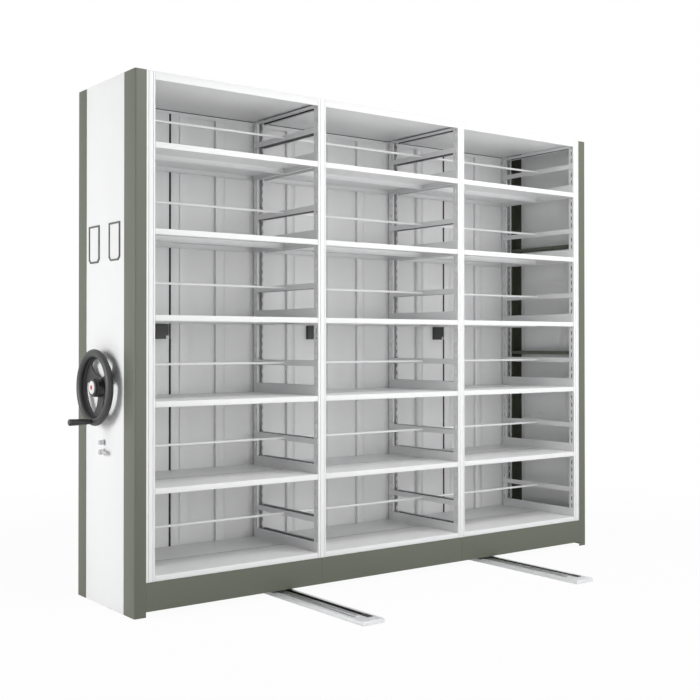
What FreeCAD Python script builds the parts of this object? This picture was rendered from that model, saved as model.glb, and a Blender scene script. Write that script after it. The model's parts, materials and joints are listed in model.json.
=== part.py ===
import FreeCAD, Part
import math
import os

from FreeCAD import Vector

# A mobile shelving carriage: a double-depth steel bookcase on two floor rails, driven by a handwheel.
# Millimetres. X runs along the bookcase from the left end panel's outer face, Y from the front face
# towards the doors, Z up from the floor. saveNode moves all of it so that the origin is at the middle
# of the whole model's base.

# ---------------------------------------------------------------- driving dimensions
bayCount = 3
bayPitch = 900.0
tierCount = 6
tierPitch = 367.2
firstShelfTop = 174.4
topClearance = 298.6        # from the last shelf's top to the carriage's top
carriageDepth = 569.0
endCavity = 52.0            # from an end panel's outer face to the first upright
sheet = 1.5                 # panels, trims, plinths and brackets
thinSheet = 1.2             # boards and door leaves
runningGap = 0.3            # between parts that lie beside each other without touching
overcut = 1.0               # of a cutting shape past the face it opens

# uprights
uprightWidth = 44.0
uprightDepth = 35.0
uprightWall = 2.0
uprightLip = 12.0
backInset = 10.0            # from the trims' rear faces to the rear uprights
beadInset = 7.4
beadWidth = 7.6
beadDepth = 2.0
beadSlope = 2.0
tieHeight = 14.0
tieRise = 8.0               # of a frame tie's top over the top fascia's lower edge
slotHeight = 23.0
slotWidth = 7.0
slotsPerTier = 3
slotRise = 20.4             # from a shelf's top to the middle of the first slot above it

# shelves, brackets and rods
boardLip = 24.5
boardReturn = 12.0
boardSeam = 2.0
boardFrontGap = 0.5
bracketUpstand = 47.0
bracketLedge = 12.0
bracketInset = 8.0          # from an upright's outer face to the bracket's end
bracketCorner = 10.0
hookLength = 16.0
hookWidth = 5.0
hookReach = 5.0
rodDiameter = 9.0
rodRise = 152.0
rodRailHeight = 26.5

# top panels and plinths
topLip = 35.5
topReturn = 12.0
notchMargin = 1.0
headerDrop = 34.0
plinthBottom = 27.0
plinthReturn = 14.0
panelSeam = 1.0

# end panels and corner trims
trimFace = 54.5
frontTrimSide = 100.0
rearTrimSide = 89.0
trimReturn = 12.0
trimCorner = 8.0
trimBottom = 5.0
endPanelDepth = 12.0
endPanelReturn = 14.0
crossbarHeight = 20.0
crossbarLevels = (1092.0, 1705.0)

# label holders on the left end panel
labelWidth = 107.0
labelHeight = 167.0
labelBottom = 1512.0
labelBorder = 8.0
labelChamfer = 16.0
labelThickness = 2.5
labelOffset = 102.0         # from the middle between the holders to each holder's middle
labelMiddle = 291.5

# floor track
railWidth = 115.0
railHeight = 18.0
railEdge = 3.0
railSpacing = 1312.0
railTail = 53.0             # rail beyond an end stop
barInset = 39.0
barWidth = 27.0
barProud = 2.0
barSink = 12.0
barEdge = 1.5
grooveWidth = 31.0
grooveFloor = 7.0
sideGrooveInset = 20.0
sideGrooveFloor = 10.0
frontTravel = 590.0
rearTravel = 20.0
stopLength = 48.0
stopProud = 3.0
stopEdge = 4.0
stopGap = 0.4
stopRecess = 10.0           # from a stop's inner face to the ends of the grooves and the running bar

# wheels and axles
treadRadius = 40.0
treadWidth = 26.0
wheelFlange = 6.0
flangeWidth = 8.0
flangeGap = 1.0
wheelHubRadius = 18.0
wheelRecess = 6.0
wheelRimWall = 8.0
wheelBevel = 2.0
frontWheelY = 80.0
driveAxisY = 290.0
rearWheelInset = 70.0       # from the rear uprights' faces to the rear axles
idleAxleRadius = 8.0
axleHead = 4.0
driveShaftRadius = 12.5
axleFit = 0.05
shaftHoleGap = 1.0
shaftProud = 6.0            # of the drive shaft past its last bearing

# chassis
chassisTop = 145.0
chassisHeight = 35.0
chassisWidth = 60.0
chassisWall = 3.0
truckWall = 4.0
truckGap = 8.0              # from a wheel's side to the truck plate
truckBottom = 30.0
truckEnd = 22.0
truckShoulder = 20.0
truckNose = 34.0
spacerRadius = 10.0
spacerMargin = 4.0
bearingRadius = 26.0
bearingWidth = 14.0
bearingFlange = 5.0
bearingStep = 8.0
bearingBevel = 2.0
hangerWall = 4.0
hangerWidth = 70.0
hangerShoulder = 12.0
hangerMargin = 4.0

# chain drive
chainPitch = 12.7
rollerRadius = 4.0
linkHeight = 10.0
linkWall = 1.5
linkGap = 6.0
rollersEvery = 4            # pitches between the rollers that are modelled
upperTeeth = 11
lowerTeeth = 19
sprocketWidth = 4.8
sprocketX = 28.0
sprocketOverhang = 4.0      # of each shaft past its sprocket
toothRise = 3.0
carrierWall = 3.0
carrierHeight = 90.0

# handwheel
wheelAxisZ = 963.0
rimRadius = 150.0
rimHalfHeight = 17.5
rimHalfWidth = 15.0
rimPlaneX = -48.6
webRimX = -31.0             # the web's front face where it joins the rim
webRimRadius = 132.0
webHubX = -17.0             # and at the hub
webWall = 8.0
webJoint = 6.0              # of the web's edge into the rim
hubFront = -60.0
hubRadius = 39.0
hubInnerRadius = 33.0
hubRootRadius = 41.5
hubStepX = -48.0
hubDish = 8.0
hubEdge = 2.0
windowOffset = 124.0
windowRadius = 81.0
windowReach = 124.0
windowFillet = 13.0
spokeCount = 3
bossRadius = 40.0
bossLength = 7.5
bossGap = 0.5
bossFlange = 4.0
bossFlangeWidth = 4.0
bossTaper = 1.5
capRadius = 29.0
capRise = 2.5
capEdge = 1.2
capSeat = 5.0               # from the cap's rim to the hub's recess
capFit = 0.3
wheelShaftRadius = 10.0

# crank on the handwheel
crankRadius = 148.0
collarRadius = 11.0
collarLength = 22.0
gripLength = 84.0
gripRadius = 13.0
gripEndRadius = 14.8
gripCollarRadius = 12.2
gripEndRound = 6.5
gripWall = 6.0
spindleRadius = 5.0
gripBore = 5.1
gripSpindleEnd = 8.0        # from the grip's tip to the spindle's end
seatDepth = 2.6
seatFit = 0.5

# locks under the handwheel
buttonZ = 722.0
leverZ = 680.0
lockY = 288.6
lockRosetteRadius = 13.0
rosetteThickness = 3.0
rosetteEdge = 1.0
buttonRadius = 10.0
buttonReach = 26.0
buttonTravel = 6.0
stemRadius = 6.0
stemLength = 22.0
stemHoleGap = 1.0
turnedEdge = 1.5            # bevel on turned metal ends
leverHubRadius = 11.5
leverRingWall = 3.0
leverReach = 26.0
leverArm = 84.0
leverHeight = 20.0
leverTipHeight = 14.0
leverWall = 9.0
leverSink = 4.0             # of the arm behind the hub's end
leverTipBevel = 4.0
lockFit = 0.4

# doors
doorStandoff = 5.0          # from the rear uprights to the leaves
doorThickness = 18.0
doorFootGap = 4.1           # over the plinth
doorHeadGap = 36.0          # under the carriage's top
leftLeafWidth = 390.0
doorGap = 10.0
doorEdgeGap = 4.3
doorReturn = 45.0
lockStile = 110.0           # the left leaf's return along its free edge
stiffenerWidth = 48.0
leftStiffener = 186.0       # from the left leaf's outer edge
rightStiffener = 190.0      # from the right leaf's outer edge
sealWidth = 8.0
sealInset = 2.0
sealBevel = 2.5
pivotInset = 9.0
pivotRadius = 4.0
pivotFit = 0.3
pivotLength = 9.0
pivotPlate = 3.0
pivotPlateWidth = 22.0
pivotPlateLeg = 16.0
pivotPlateMargin = 5.0
lockCaseWidth = 70.0
lockCaseHeight = 72.0
lockCaseDepth = 20.0
lockCaseWall = 2.0
lockCaseTop = 1249.0
lockCaseInset = 12.0
lockCaseEdge = 1.5
lockNotchWidth = 14.0
lockNotchHeight = 16.0
tongueLength = 40.0
tongueWidth = 12.0
tongueWall = 3.0
tongueInset = 1.0
tongueGap = 1.0
tongueEdge = 3.0
lockBarrelRadius = 8.0
lockHeadRadius = 11.0
lockHeadWall = 3.5
keywayWidth = 2.0
keywayHeight = 10.0
keywayDepth = 2.0
lockAxisInset = 10.0
lockAxisRise = 28.0

# ---------------------------------------------------------------- derived sizes
carriageLength = 2 * endCavity + bayCount * bayPitch + uprightWidth
carriageHeight = firstShelfTop + tierPitch * (tierCount - 1) + topClearance
uprightFront = sheet
uprightBack = carriageDepth - backInset
rackMiddleY = (uprightFront + uprightBack) / 2
slotPitch = tierPitch / slotsPerTier
topUnderside = carriageHeight - sheet
plinthTop = firstShelfTop - boardLip
uprightFoot = chassisTop
rearWheelY = uprightBack - rearWheelInset
doorFront = uprightBack + doorStandoff
doorBottom = plinthTop + doorFootGap
doorTop = carriageHeight - doorHeadGap
axleZ = railHeight + barProud + treadRadius
flangeRadius = treadRadius + wheelFlange
railLeftEdges = [carriageLength / 2 + side * railSpacing / 2 - railWidth / 2 for side in (-1, 1)]
treadStart = barInset + barWidth / 2 - treadWidth / 2
wheelStarts = [edge + treadStart for edge in railLeftEdges]
wheelWidth = treadWidth + flangeWidth
stopTop = railHeight + stopProud
stopReach = math.sqrt(flangeRadius ** 2 - (axleZ - stopTop) ** 2)
frontStopFace = frontWheelY - frontTravel - stopReach - stopGap
rearStopFace = rearWheelY + rearTravel + stopReach + stopGap
railFront = frontStopFace - stopLength - railTail
railBack = rearStopFace + stopLength + railTail
gripTipX = rimPlaneX - rimHalfWidth + seatDepth - collarLength - gripLength
originX = (gripTipX + carriageLength) / 2
originY = (railFront + railBack) / 2


# ---------------------------------------------------------------- shape helpers
def box(x0, x1, y0, y1, z0, z1):
    return Part.makeBox(x1 - x0, y1 - y0, z1 - z0, Vector(x0, y0, z0))


def polygonFace(points):
    return Part.Face(Part.makePolygon(points + points[:1]))


def prismX(outline, x0, x1):
    """Prism along X from (y, z) points."""
    return polygonFace([Vector(x0, y, z) for y, z in outline]).extrude(Vector(x1 - x0, 0, 0))


def prismY(outline, y0, y1):
    """Prism along Y from (x, z) points."""
    return polygonFace([Vector(x, y0, z) for x, z in outline]).extrude(Vector(0, y1 - y0, 0))


def prismZ(outline, z0, z1):
    """Prism along Z from (x, y) points."""
    return polygonFace([Vector(x, y, z0) for x, y in outline]).extrude(Vector(0, 0, z1 - z0))


def cylinderX(x0, x1, y, z, radius):
    return Part.makeCylinder(radius, x1 - x0, Vector(x0, y, z), Vector(1, 0, 0))


def cylinderY(y0, y1, x, z, radius):
    return Part.makeCylinder(radius, y1 - y0, Vector(x, y0, z), Vector(0, 1, 0))


def cylinderZ(z0, z1, x, y, radius):
    return Part.makeCylinder(radius, z1 - z0, Vector(x, y, z0), Vector(0, 0, 1))


def revolveX(outline, y, z):
    """Turned part about an X axis through (y, z), from (x, radius) points."""
    face = polygonFace([Vector(x, y, z + radius) for x, radius in outline])
    return face.revolve(Vector(0, y, z), Vector(1, 0, 0), 360)


def foldedOutline(path, wall):
    """Closed outline of a sheet of the given wall, laid on the left side of an open path."""
    normals = []
    for (ax, ay), (bx, by) in zip(path, path[1:]):
        length = math.hypot(bx - ax, by - ay)
        normals.append(((ay - by) / length, (bx - ax) / length))
    inner = []
    for index, (x, y) in enumerate(path):
        nx, ny = normals[max(index - 1, 0)]
        mx, my = normals[min(index, len(normals) - 1)]
        scale = wall / (1 + nx * mx + ny * my)
        inner.append((x + (nx + mx) * scale, y + (ny + my) * scale))
    return list(path) + inner[::-1]


def mirrorX(shape, x):
    return shape.mirror(Vector(x, 0, 0), Vector(1, 0, 0))


def mirrorY(shape, y):
    return shape.mirror(Vector(0, y, 0), Vector(0, 1, 0))


def cutAll(shape, tools):
    return shape.cut(Part.makeCompound(tools)) if tools else shape


def fuseAll(shapes):
    return shapes[0].fuse(shapes[1:]).removeSplitter()


def saveNode(name, shapes):
    group = Part.makeCompound(shapes) if len(shapes) > 1 else shapes[0]
    group = group.copy()
    group.translate(Vector(-originX, -originY, 0))
    group.exportStep("parts/" + name + ".step")
    print(name, len(shapes), round(sum(s.Volume for s in shapes)))


# ---------------------------------------------------------------- places along the carriage
def uprightLeft(line):
    return endCavity + bayPitch * line


def bayFaces(bay):
    """The two upright side faces that look into a bay."""
    return uprightLeft(bay) + uprightWidth, uprightLeft(bay + 1)


def shelfTop(tier):
    return firstShelfTop + tierPitch * tier


def seamX(line):
    return uprightLeft(line) + uprightWidth / 2


def panelSpans():
    """X spans of the panels that close the front and back, from trim to trim, with a seam on each upright."""
    edges = [trimFace] + [seamX(line) for line in range(1, bayCount)] + [carriageLength - trimFace]
    return [(a + panelSeam / 2, b - panelSeam / 2) for a, b in zip(edges, edges[1:])]


# ---------------------------------------------------------------- floor track
def grooveEnds():
    """Y span of the grooves and the running bar, between the rail's plain ends."""
    return frontStopFace - stopRecess, rearStopFace + stopRecess


def floorRail(left):
    """Solid rail with a wide and a narrow groove on either side of the running bar's seat."""
    right = left + railWidth
    outline = [
        (left, 0),
        (right, 0),
        (right, railHeight - railEdge),
        (right - railEdge, railHeight),
        (left + railEdge, railHeight),
        (left, railHeight - railEdge),
    ]
    y0, y1 = grooveEnds()
    top = railHeight + overcut
    barLeft = left + barInset
    barRight = barLeft + barWidth
    grooves = [
        box(left + sideGrooveInset, barLeft, y0, y1, sideGrooveFloor, top),
        box(barLeft, barRight, y0, y1, railHeight + barProud - barSink, top),
        box(barRight, barRight + grooveWidth, frontStopFace - stopLength, rearStopFace + stopLength,
            grooveFloor, top),
    ]
    return prismY(outline, railFront, railBack).cut(fuseAll(grooves))


def runningBar(left):
    x0 = left + barInset
    top = railHeight + barProud
    outline = [
        (x0, top - barSink),
        (x0 + barWidth, top - barSink),
        (x0 + barWidth, top - barEdge),
        (x0 + barWidth - barEdge, top),
        (x0 + barEdge, top),
        (x0, top - barEdge),
    ]
    return prismY(outline, *grooveEnds())


def endStop(left, innerFace, direction):
    """A rubber block that fills the end of the wide groove, with its upper edges bevelled."""
    grooveLeft = left + barInset + barWidth
    x0 = grooveLeft + runningGap
    x1 = grooveLeft + grooveWidth - runningGap
    outline = [
        (x0, grooveFloor),
        (x1, grooveFloor),
        (x1, stopTop - stopEdge),
        (x1 - stopEdge, stopTop),
        (x0 + stopEdge, stopTop),
        (x0, stopTop - stopEdge),
    ]
    return prismY(outline, innerFace, innerFace + direction * stopLength)


def floorTrack():
    saveNode("floor_rails", [floorRail(left) for left in railLeftEdges])
    saveNode("running_bars", [runningBar(left) for left in railLeftEdges])
    stops = []
    for left in railLeftEdges:
        stops.append(endStop(left, frontStopFace, -1))
        stops.append(endStop(left, rearStopFace, 1))
    saveNode("rail_end_stops", stops)


# ---------------------------------------------------------------- chassis and wheels
def longChannel(yOuter, direction):
    """C channel along the carriage with its open side towards the middle."""
    y1 = yOuter + direction * chassisWidth
    z0 = chassisTop - chassisHeight
    path = [(y1, z0), (yOuter, z0), (yOuter, chassisTop), (y1, chassisTop)]
    if direction > 0:
        path = path[::-1]
    return prismX(foldedOutline(path, chassisWall), endCavity, carriageLength - endCavity)


def crossChannel(line):
    x0 = uprightLeft(line)
    x1 = x0 + uprightWidth
    z0 = chassisTop - chassisHeight
    path = [(x0, z0), (x0, chassisTop), (x1, chassisTop), (x1, z0)]
    y0 = uprightFront + chassisWidth
    y1 = uprightBack - chassisWidth
    return prismY(foldedOutline(path[::-1], chassisWall), y0, y1)


def shaftHanger():
    """Plate under the first cross channel that holds the drive shaft's left end."""
    x0 = uprightLeft(0)
    half = hangerWidth / 2
    z0 = axleZ - bearingRadius - hangerMargin
    top = chassisTop - chassisHeight
    outline = [
        (driveAxisY - half, top),
        (driveAxisY - half, top - hangerShoulder),
        (driveAxisY - half / 2, z0),
        (driveAxisY + half / 2, z0),
        (driveAxisY + half, top - hangerShoulder),
        (driveAxisY + half, top),
    ]
    plate = prismX(outline, x0, x0 + hangerWall)
    hole = cylinderX(x0 - overcut, x0 + hangerWall + overcut, driveAxisY, axleZ, driveShaftRadius + shaftHoleGap)
    return plate.cut(hole)


def truckFaces(wheelStart):
    """Inner faces of the two truck plates beside a wheel."""
    return wheelStart - truckGap, wheelStart + wheelWidth + truckGap


def truck(wheelStart):
    """Two tapered side plates joined by round spacers, welded under the long channels."""
    inner0, inner1 = truckFaces(wheelStart)
    top = chassisTop - chassisHeight
    y0 = uprightFront + truckEnd
    y1 = uprightBack - truckEnd
    outline = [
        (y0, top),
        (y0, top - truckShoulder),
        (y0 + truckNose, truckBottom),
        (y1 - truckNose, truckBottom),
        (y1, top - truckShoulder),
        (y1, top),
    ]
    pieces = [prismX(outline, inner0 - truckWall, inner0), prismX(outline, inner1, inner1 + truckWall)]
    spacerZ = top - spacerRadius - spacerMargin
    for y in ((frontWheelY + driveAxisY) / 2, (driveAxisY + rearWheelY) / 2):
        pieces.append(cylinderX(inner0, inner1, y, spacerZ, spacerRadius))
    body = fuseAll(pieces)
    x0 = inner0 - truckWall - overcut
    x1 = inner1 + truckWall + overcut
    holes = [cylinderX(x0, x1, y, axleZ, idleAxleRadius) for y in (frontWheelY, rearWheelY)]
    holes.append(cylinderX(x0, x1, driveAxisY, axleZ, driveShaftRadius + shaftHoleGap))
    return cutAll(body, holes)


def idleAxle(wheelStart, y):
    """Pin with a head at each end of the truck, through both plates."""
    inner0, inner1 = truckFaces(wheelStart)
    x0 = inner0 - truckWall
    x1 = inner1 + truckWall
    headRadius = idleAxleRadius + axleHead
    outline = [
        (x0 - axleHead, 0),
        (x0 - axleHead, headRadius),
        (x0, headRadius),
        (x0, idleAxleRadius),
        (x1, idleAxleRadius),
        (x1, headRadius),
        (x1 + axleHead, headRadius),
        (x1 + axleHead, 0),
    ]
    return revolveX(outline, y, axleZ)


def wheelOutline(x0, bore):
    """Half section of a flanged wheel with a recess in each side, its tread first."""
    tread = x0 + treadWidth + flangeGap
    x1 = tread + flangeWidth
    rim = treadRadius - wheelRimWall
    return [
        (x0 - truckGap / 2, bore),
        (x0 - truckGap / 2, wheelHubRadius),
        (x0 + wheelRecess, wheelHubRadius + wheelBevel),
        (x0 + wheelRecess, rim - wheelBevel),
        (x0, rim),
        (x0, treadRadius),
        (tread, treadRadius),
        (tread + wheelBevel, flangeRadius),
        (x1, flangeRadius),
        (x1, rim),
        (x1 - wheelRecess, rim - wheelBevel),
        (x1 - wheelRecess, wheelHubRadius + wheelBevel),
        (x1 + truckGap / 2, wheelHubRadius),
        (x1 + truckGap / 2, bore),
    ]


def trackWheel(wheelStart, y, bore):
    return revolveX(wheelOutline(wheelStart, bore), y, axleZ)


def bearingBlock(x0, direction, y, z, bore):
    """Round flanged bearing seated on a plate's outer side."""
    nose = bearingRadius - bearingStep
    outline = [
        (x0, bore),
        (x0, bearingRadius),
        (x0 + direction * bearingFlange, bearingRadius),
        (x0 + direction * bearingFlange, nose),
        (x0 + direction * bearingWidth, nose - bearingBevel),
        (x0 + direction * bearingWidth, bore),
    ]
    return revolveX(outline, y, z)


def chassis():
    beams = [longChannel(uprightFront, 1), longChannel(uprightBack, -1)]
    beams += [crossChannel(line) for line in range(bayCount + 1)]
    beams.append(shaftHanger())
    saveNode("chassis_beams", beams)
    saveNode("chassis_trucks", [truck(start) for start in wheelStarts])
    axles = [idleAxle(start, y) for start in wheelStarts for y in (frontWheelY, rearWheelY)]
    saveNode("idle_axles", axles)
    idleBore = idleAxleRadius + axleFit
    saveNode("idle_wheels_front", [trackWheel(start, frontWheelY, idleBore) for start in wheelStarts])
    saveNode("idle_wheels_rear", [trackWheel(start, rearWheelY, idleBore) for start in wheelStarts])
    saveNode("drive_wheels", [trackWheel(start, driveAxisY, driveShaftRadius) for start in wheelStarts])
    bore = driveShaftRadius + axleFit
    blocks = [bearingBlock(uprightLeft(0) + hangerWall, 1, driveAxisY, axleZ, bore)]
    for start in wheelStarts:
        inner0, inner1 = truckFaces(start)
        blocks.append(bearingBlock(inner0 - truckWall, -1, driveAxisY, axleZ, bore))
        blocks.append(bearingBlock(inner1 + truckWall, 1, driveAxisY, axleZ, bore))
    saveNode("bearing_blocks", blocks)


# ---------------------------------------------------------------- chain drive
def pitchRadius(teeth):
    return chainPitch / (2 * math.sin(math.pi / teeth))


def sprocket(teeth, z, bore):
    """Toothed plate: each tooth is a trapezium between two roller seats."""
    pitch = pitchRadius(teeth)
    root = pitch - rollerRadius
    tip = pitch + toothRise
    step = 2 * math.pi / teeth
    points = []
    for tooth in range(teeth):
        middle = tooth * step
        for radius, share in ((root, -0.30), (tip, -0.10), (tip, 0.10), (root, 0.30)):
            angle = middle + share * step
            y = driveAxisY + radius * math.sin(angle)
            points.append((y, z + radius * math.cos(angle)))
    x0 = sprocketX - sprocketWidth / 2
    plate = prismX(points, x0, x0 + sprocketWidth)
    return plate.cut(cylinderX(x0 - overcut, x0 + sprocketWidth + overcut, driveAxisY, z, bore))


def chainLoop(offset):
    """Closed wire round both sprockets at the given distance outside the pitch line."""
    upper = pitchRadius(upperTeeth)
    lower = pitchRadius(lowerTeeth)
    span = wheelAxisZ - axleZ
    lean = math.asin((lower - upper) / span)
    x = sprocketX

    def onCircle(z, radius, angle):
        return Vector(x, driveAxisY + radius * math.cos(angle), z + radius * math.sin(angle))

    big = lower + offset
    small = upper + offset
    lowRight = onCircle(axleZ, big, lean)
    highRight = onCircle(wheelAxisZ, small, lean)
    highLeft = onCircle(wheelAxisZ, small, math.pi - lean)
    lowLeft = onCircle(axleZ, big, math.pi - lean)
    top = onCircle(wheelAxisZ, small, math.pi / 2)
    bottom = onCircle(axleZ, big, -math.pi / 2)
    edges = [
        Part.makeLine(lowRight, highRight),
        Part.Arc(highRight, top, highLeft).toShape(),
        Part.makeLine(highLeft, lowLeft),
        Part.Arc(lowLeft, bottom, lowRight).toShape(),
    ]
    return Part.Wire(edges)


def linkBand(x0):
    outer = Part.Face(chainLoop(linkHeight / 2))
    inner = Part.Face(chainLoop(-linkHeight / 2))
    band = outer.cut(inner).extrude(Vector(linkWall, 0, 0))
    band.translate(Vector(x0 - sprocketX, 0, 0))
    return band


def chain():
    """Two rows of link plates tied by rollers along both straight runs."""
    half = linkGap / 2
    pieces = [linkBand(sprocketX - half - linkWall), linkBand(sprocketX + half)]
    upper = pitchRadius(upperTeeth)
    lower = pitchRadius(lowerTeeth)
    span = wheelAxisZ - axleZ
    lean = math.asin((lower - upper) / span)
    runLength = span * math.cos(lean)
    spacing = rollersEvery * chainPitch
    count = int(runLength / spacing)
    for side in (1, -1):
        for index in range(count):
            along = (index + 0.5) * spacing
            y = driveAxisY + side * (lower * math.cos(lean) - along * math.sin(lean))
            z = axleZ + lower * math.sin(lean) + along * math.cos(lean)
            pieces.append(cylinderX(sprocketX - half, sprocketX + half, y, z, rollerRadius / 2))
    return fuseAll(pieces)


def driveLine():
    shaftEnd = truckFaces(wheelStarts[-1])[1] + truckWall + bearingWidth + shaftProud
    shaftStart = sprocketX - sprocketWidth / 2 - sprocketOverhang
    shaft = cylinderX(shaftStart, shaftEnd, driveAxisY, axleZ, driveShaftRadius)
    saveNode("drive_shaft", [shaft, sprocket(lowerTeeth, axleZ, driveShaftRadius)])
    saveNode("drive_chain", [chain()])
    # plate between the first uprights that holds the handwheel shaft's inner end
    x1 = endCavity
    x0 = x1 - carrierWall
    z0 = wheelAxisZ - carrierHeight / 2
    z1 = wheelAxisZ + carrierHeight / 2
    plate = box(x0, x1, uprightFront, uprightBack, z0, z1)
    hole = cylinderX(x0 - overcut, x1 + overcut, driveAxisY, wheelAxisZ, wheelShaftRadius + shaftHoleGap)
    bearing = bearingBlock(x1, 1, driveAxisY, wheelAxisZ, wheelShaftRadius + axleFit)
    saveNode("shaft_carrier", [plate.cut(hole), bearing])


# ---------------------------------------------------------------- rack
def uprightPath():
    """Plan of a front upright's outside, from one rear lip round the face to the other."""
    right = uprightWidth
    points = [(uprightLip, uprightDepth), (0, uprightDepth), (0, 0)]
    for start in (beadInset, right - beadInset - beadWidth):
        points += [
            (start, 0),
            (start + beadSlope, beadDepth),
            (start + beadWidth - beadSlope, beadDepth),
            (start + beadWidth, 0),
        ]
    points += [(right, 0), (right, uprightDepth), (right - uprightLip, uprightDepth)]
    return points


def slotLevels():
    levels = []
    for tier in range(tierCount):
        for index in range(slotsPerTier):
            level = shelfTop(tier) + slotRise + index * slotPitch
            if level + slotHeight < topUnderside:
                levels.append(level)
    return levels


def frontUpright(line):
    x0 = uprightLeft(line)
    path = [(x0 + x, uprightFront + y) for x, y in uprightPath()]
    post = prismZ(foldedOutline(path, uprightWall), uprightFoot, topUnderside)
    y = uprightFront + uprightDepth / 2
    x1 = x0 + uprightWidth
    slots = []
    for level in slotLevels():
        slots.append(box(x0 - overcut, x1 + overcut, y - slotWidth / 2, y + slotWidth / 2,
                         level - slotHeight / 2, level + slotHeight / 2))
    return cutAll(post, slots)


def frameTie(line):
    """Channel that ties a front and a rear upright at the top, open side down."""
    x0 = uprightLeft(line)
    x1 = x0 + uprightWidth
    z1 = carriageHeight - topLip + tieRise
    z0 = z1 - tieHeight
    path = [(x0, z0), (x0, z1), (x1, z1), (x1, z0)]
    y0 = uprightFront + uprightDepth
    return prismY(foldedOutline(path[::-1], sheet), y0, uprightBack - uprightDepth)


def hookTab(face, direction, y, z):
    """Tab from a bracket through an upright's slot."""
    x0, x1 = sorted((face, face - direction * hookReach))
    return box(x0, x1, y - hookWidth / 2, y + hookWidth / 2, z - hookLength / 2, z + hookLength / 2)


def hookYs():
    return uprightFront + uprightDepth / 2, uprightBack - uprightDepth / 2


def shelfBracket(face, direction, top):
    """Side plate with a ledge for the boards; direction points from the upright into the bay."""
    y0 = uprightFront + bracketInset
    y1 = uprightBack - bracketInset
    inner = face + direction * sheet
    bottom = top - boardLip - sheet
    upstand = top + bracketUpstand
    outline = [
        (y0, bottom),
        (y1, bottom),
        (y1, upstand - bracketCorner),
        (y1 - bracketCorner, upstand),
        (y0 + bracketCorner, upstand),
        (y0, upstand - bracketCorner),
    ]
    plate = prismX(outline, *sorted((face, inner)))
    ledgeX = sorted((inner, face + direction * (sheet + bracketLedge)))
    ledge = box(ledgeX[0], ledgeX[1], uprightFront + uprightDepth, uprightBack - uprightDepth,
                bottom, bottom + sheet)
    hooks = [hookTab(face, direction, y, top + slotRise) for y in hookYs()]
    return fuseAll([plate, ledge] + hooks)


def rodRail(face, direction, level):
    y0 = uprightFront + bracketInset
    y1 = uprightBack - bracketInset
    x0, x1 = sorted((face, face + direction * sheet))
    bar = box(x0, x1, y0, y1, level - rodRailHeight / 2, level + rodRailHeight / 2)
    hookZ = level + slotRise + slotPitch - rodRise
    hooks = [hookTab(face, direction, y, hookZ) for y in hookYs()]
    return fuseAll([bar] + hooks)


def board(x0, x1, y0, y1, top):
    """Folded board: deck, four lips, and returns under the front and rear lips."""
    wall = thinSheet
    bottom = top - boardLip
    block = box(x0, x1, y0, y1, bottom, top)
    cavity = box(x0 + wall, x1 - wall, y0 + wall, y1 - wall, bottom + wall, top - wall)
    mouth = box(x0 + wall, x1 - wall, y0 + boardReturn, y1 - boardReturn, bottom - overcut, bottom + wall)
    return block.cut(cavity.fuse(mouth))


def bayBoards(bay):
    faceLeft, faceRight = bayFaces(bay)
    x0 = faceLeft + sheet + runningGap
    x1 = faceRight - sheet - runningGap
    yFront = uprightFront + boardFrontGap
    yBack = uprightBack - boardFrontGap
    boards = []
    for tier in range(tierCount):
        top = shelfTop(tier)
        boards.append(board(x0, x1, yFront, rackMiddleY - boardSeam / 2, top))
        boards.append(board(x0, x1, rackMiddleY + boardSeam / 2, yBack, top))
    return boards


def topPanel(x0, x1):
    """Tray upside down over the rack: deck, front fascia flush with the uprights, and a shorter rear lip."""
    front = uprightFront
    back = uprightBack + sheet
    path = [
        (back, carriageHeight - headerDrop),
        (back, carriageHeight),
        (front, carriageHeight),
        (front, carriageHeight - topLip),
        (front + topReturn, carriageHeight - topLip),
    ]
    panel = prismX(foldedOutline(path, sheet), x0, x1)
    # the fascia and its return are cut away where the uprights reach the deck
    notches = []
    for line in range(bayCount + 1):
        left = uprightLeft(line) - panelSeam
        right = left + uprightWidth + 2 * panelSeam
        z0 = carriageHeight - topLip - notchMargin
        y1 = front + topReturn + notchMargin
        notches.append(box(left, right, front - notchMargin, y1, z0, topUnderside))
    return cutAll(panel, notches)


def endCap():
    """Flat plate over the left end cavity, between the trims, the end panel and the first uprights."""
    y0 = sheet + panelSeam / 2
    y1 = carriageDepth - y0
    trim0 = frontTrimSide - sheet - panelSeam / 2
    trim1 = carriageDepth - rearTrimSide + sheet + panelSeam / 2
    x0 = sheet + panelSeam / 2
    x1 = trimFace - panelSeam / 2
    step = endPanelDepth + panelSeam / 2
    outline = [
        (x1, y0),
        (x1, y1),
        (x0 + trimCorner, y1),
        (x0, y1 - trimCorner),
        (x0, trim1),
        (step, trim1),
        (step, trim0),
        (x0, trim0),
        (x0, y0 + trimCorner),
        (x0 + trimCorner, y0),
    ]
    return prismZ(outline, topUnderside, carriageHeight)


def plinth(x0, x1, outer, direction):
    """Skirt panel with a return along its bottom edge."""
    inner = outer + direction * plinthReturn
    path = [(inner, plinthBottom), (outer, plinthBottom), (outer, plinthTop)]
    if direction > 0:
        path = path[::-1]
    return prismX(foldedOutline(path, sheet), x0, x1)


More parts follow.
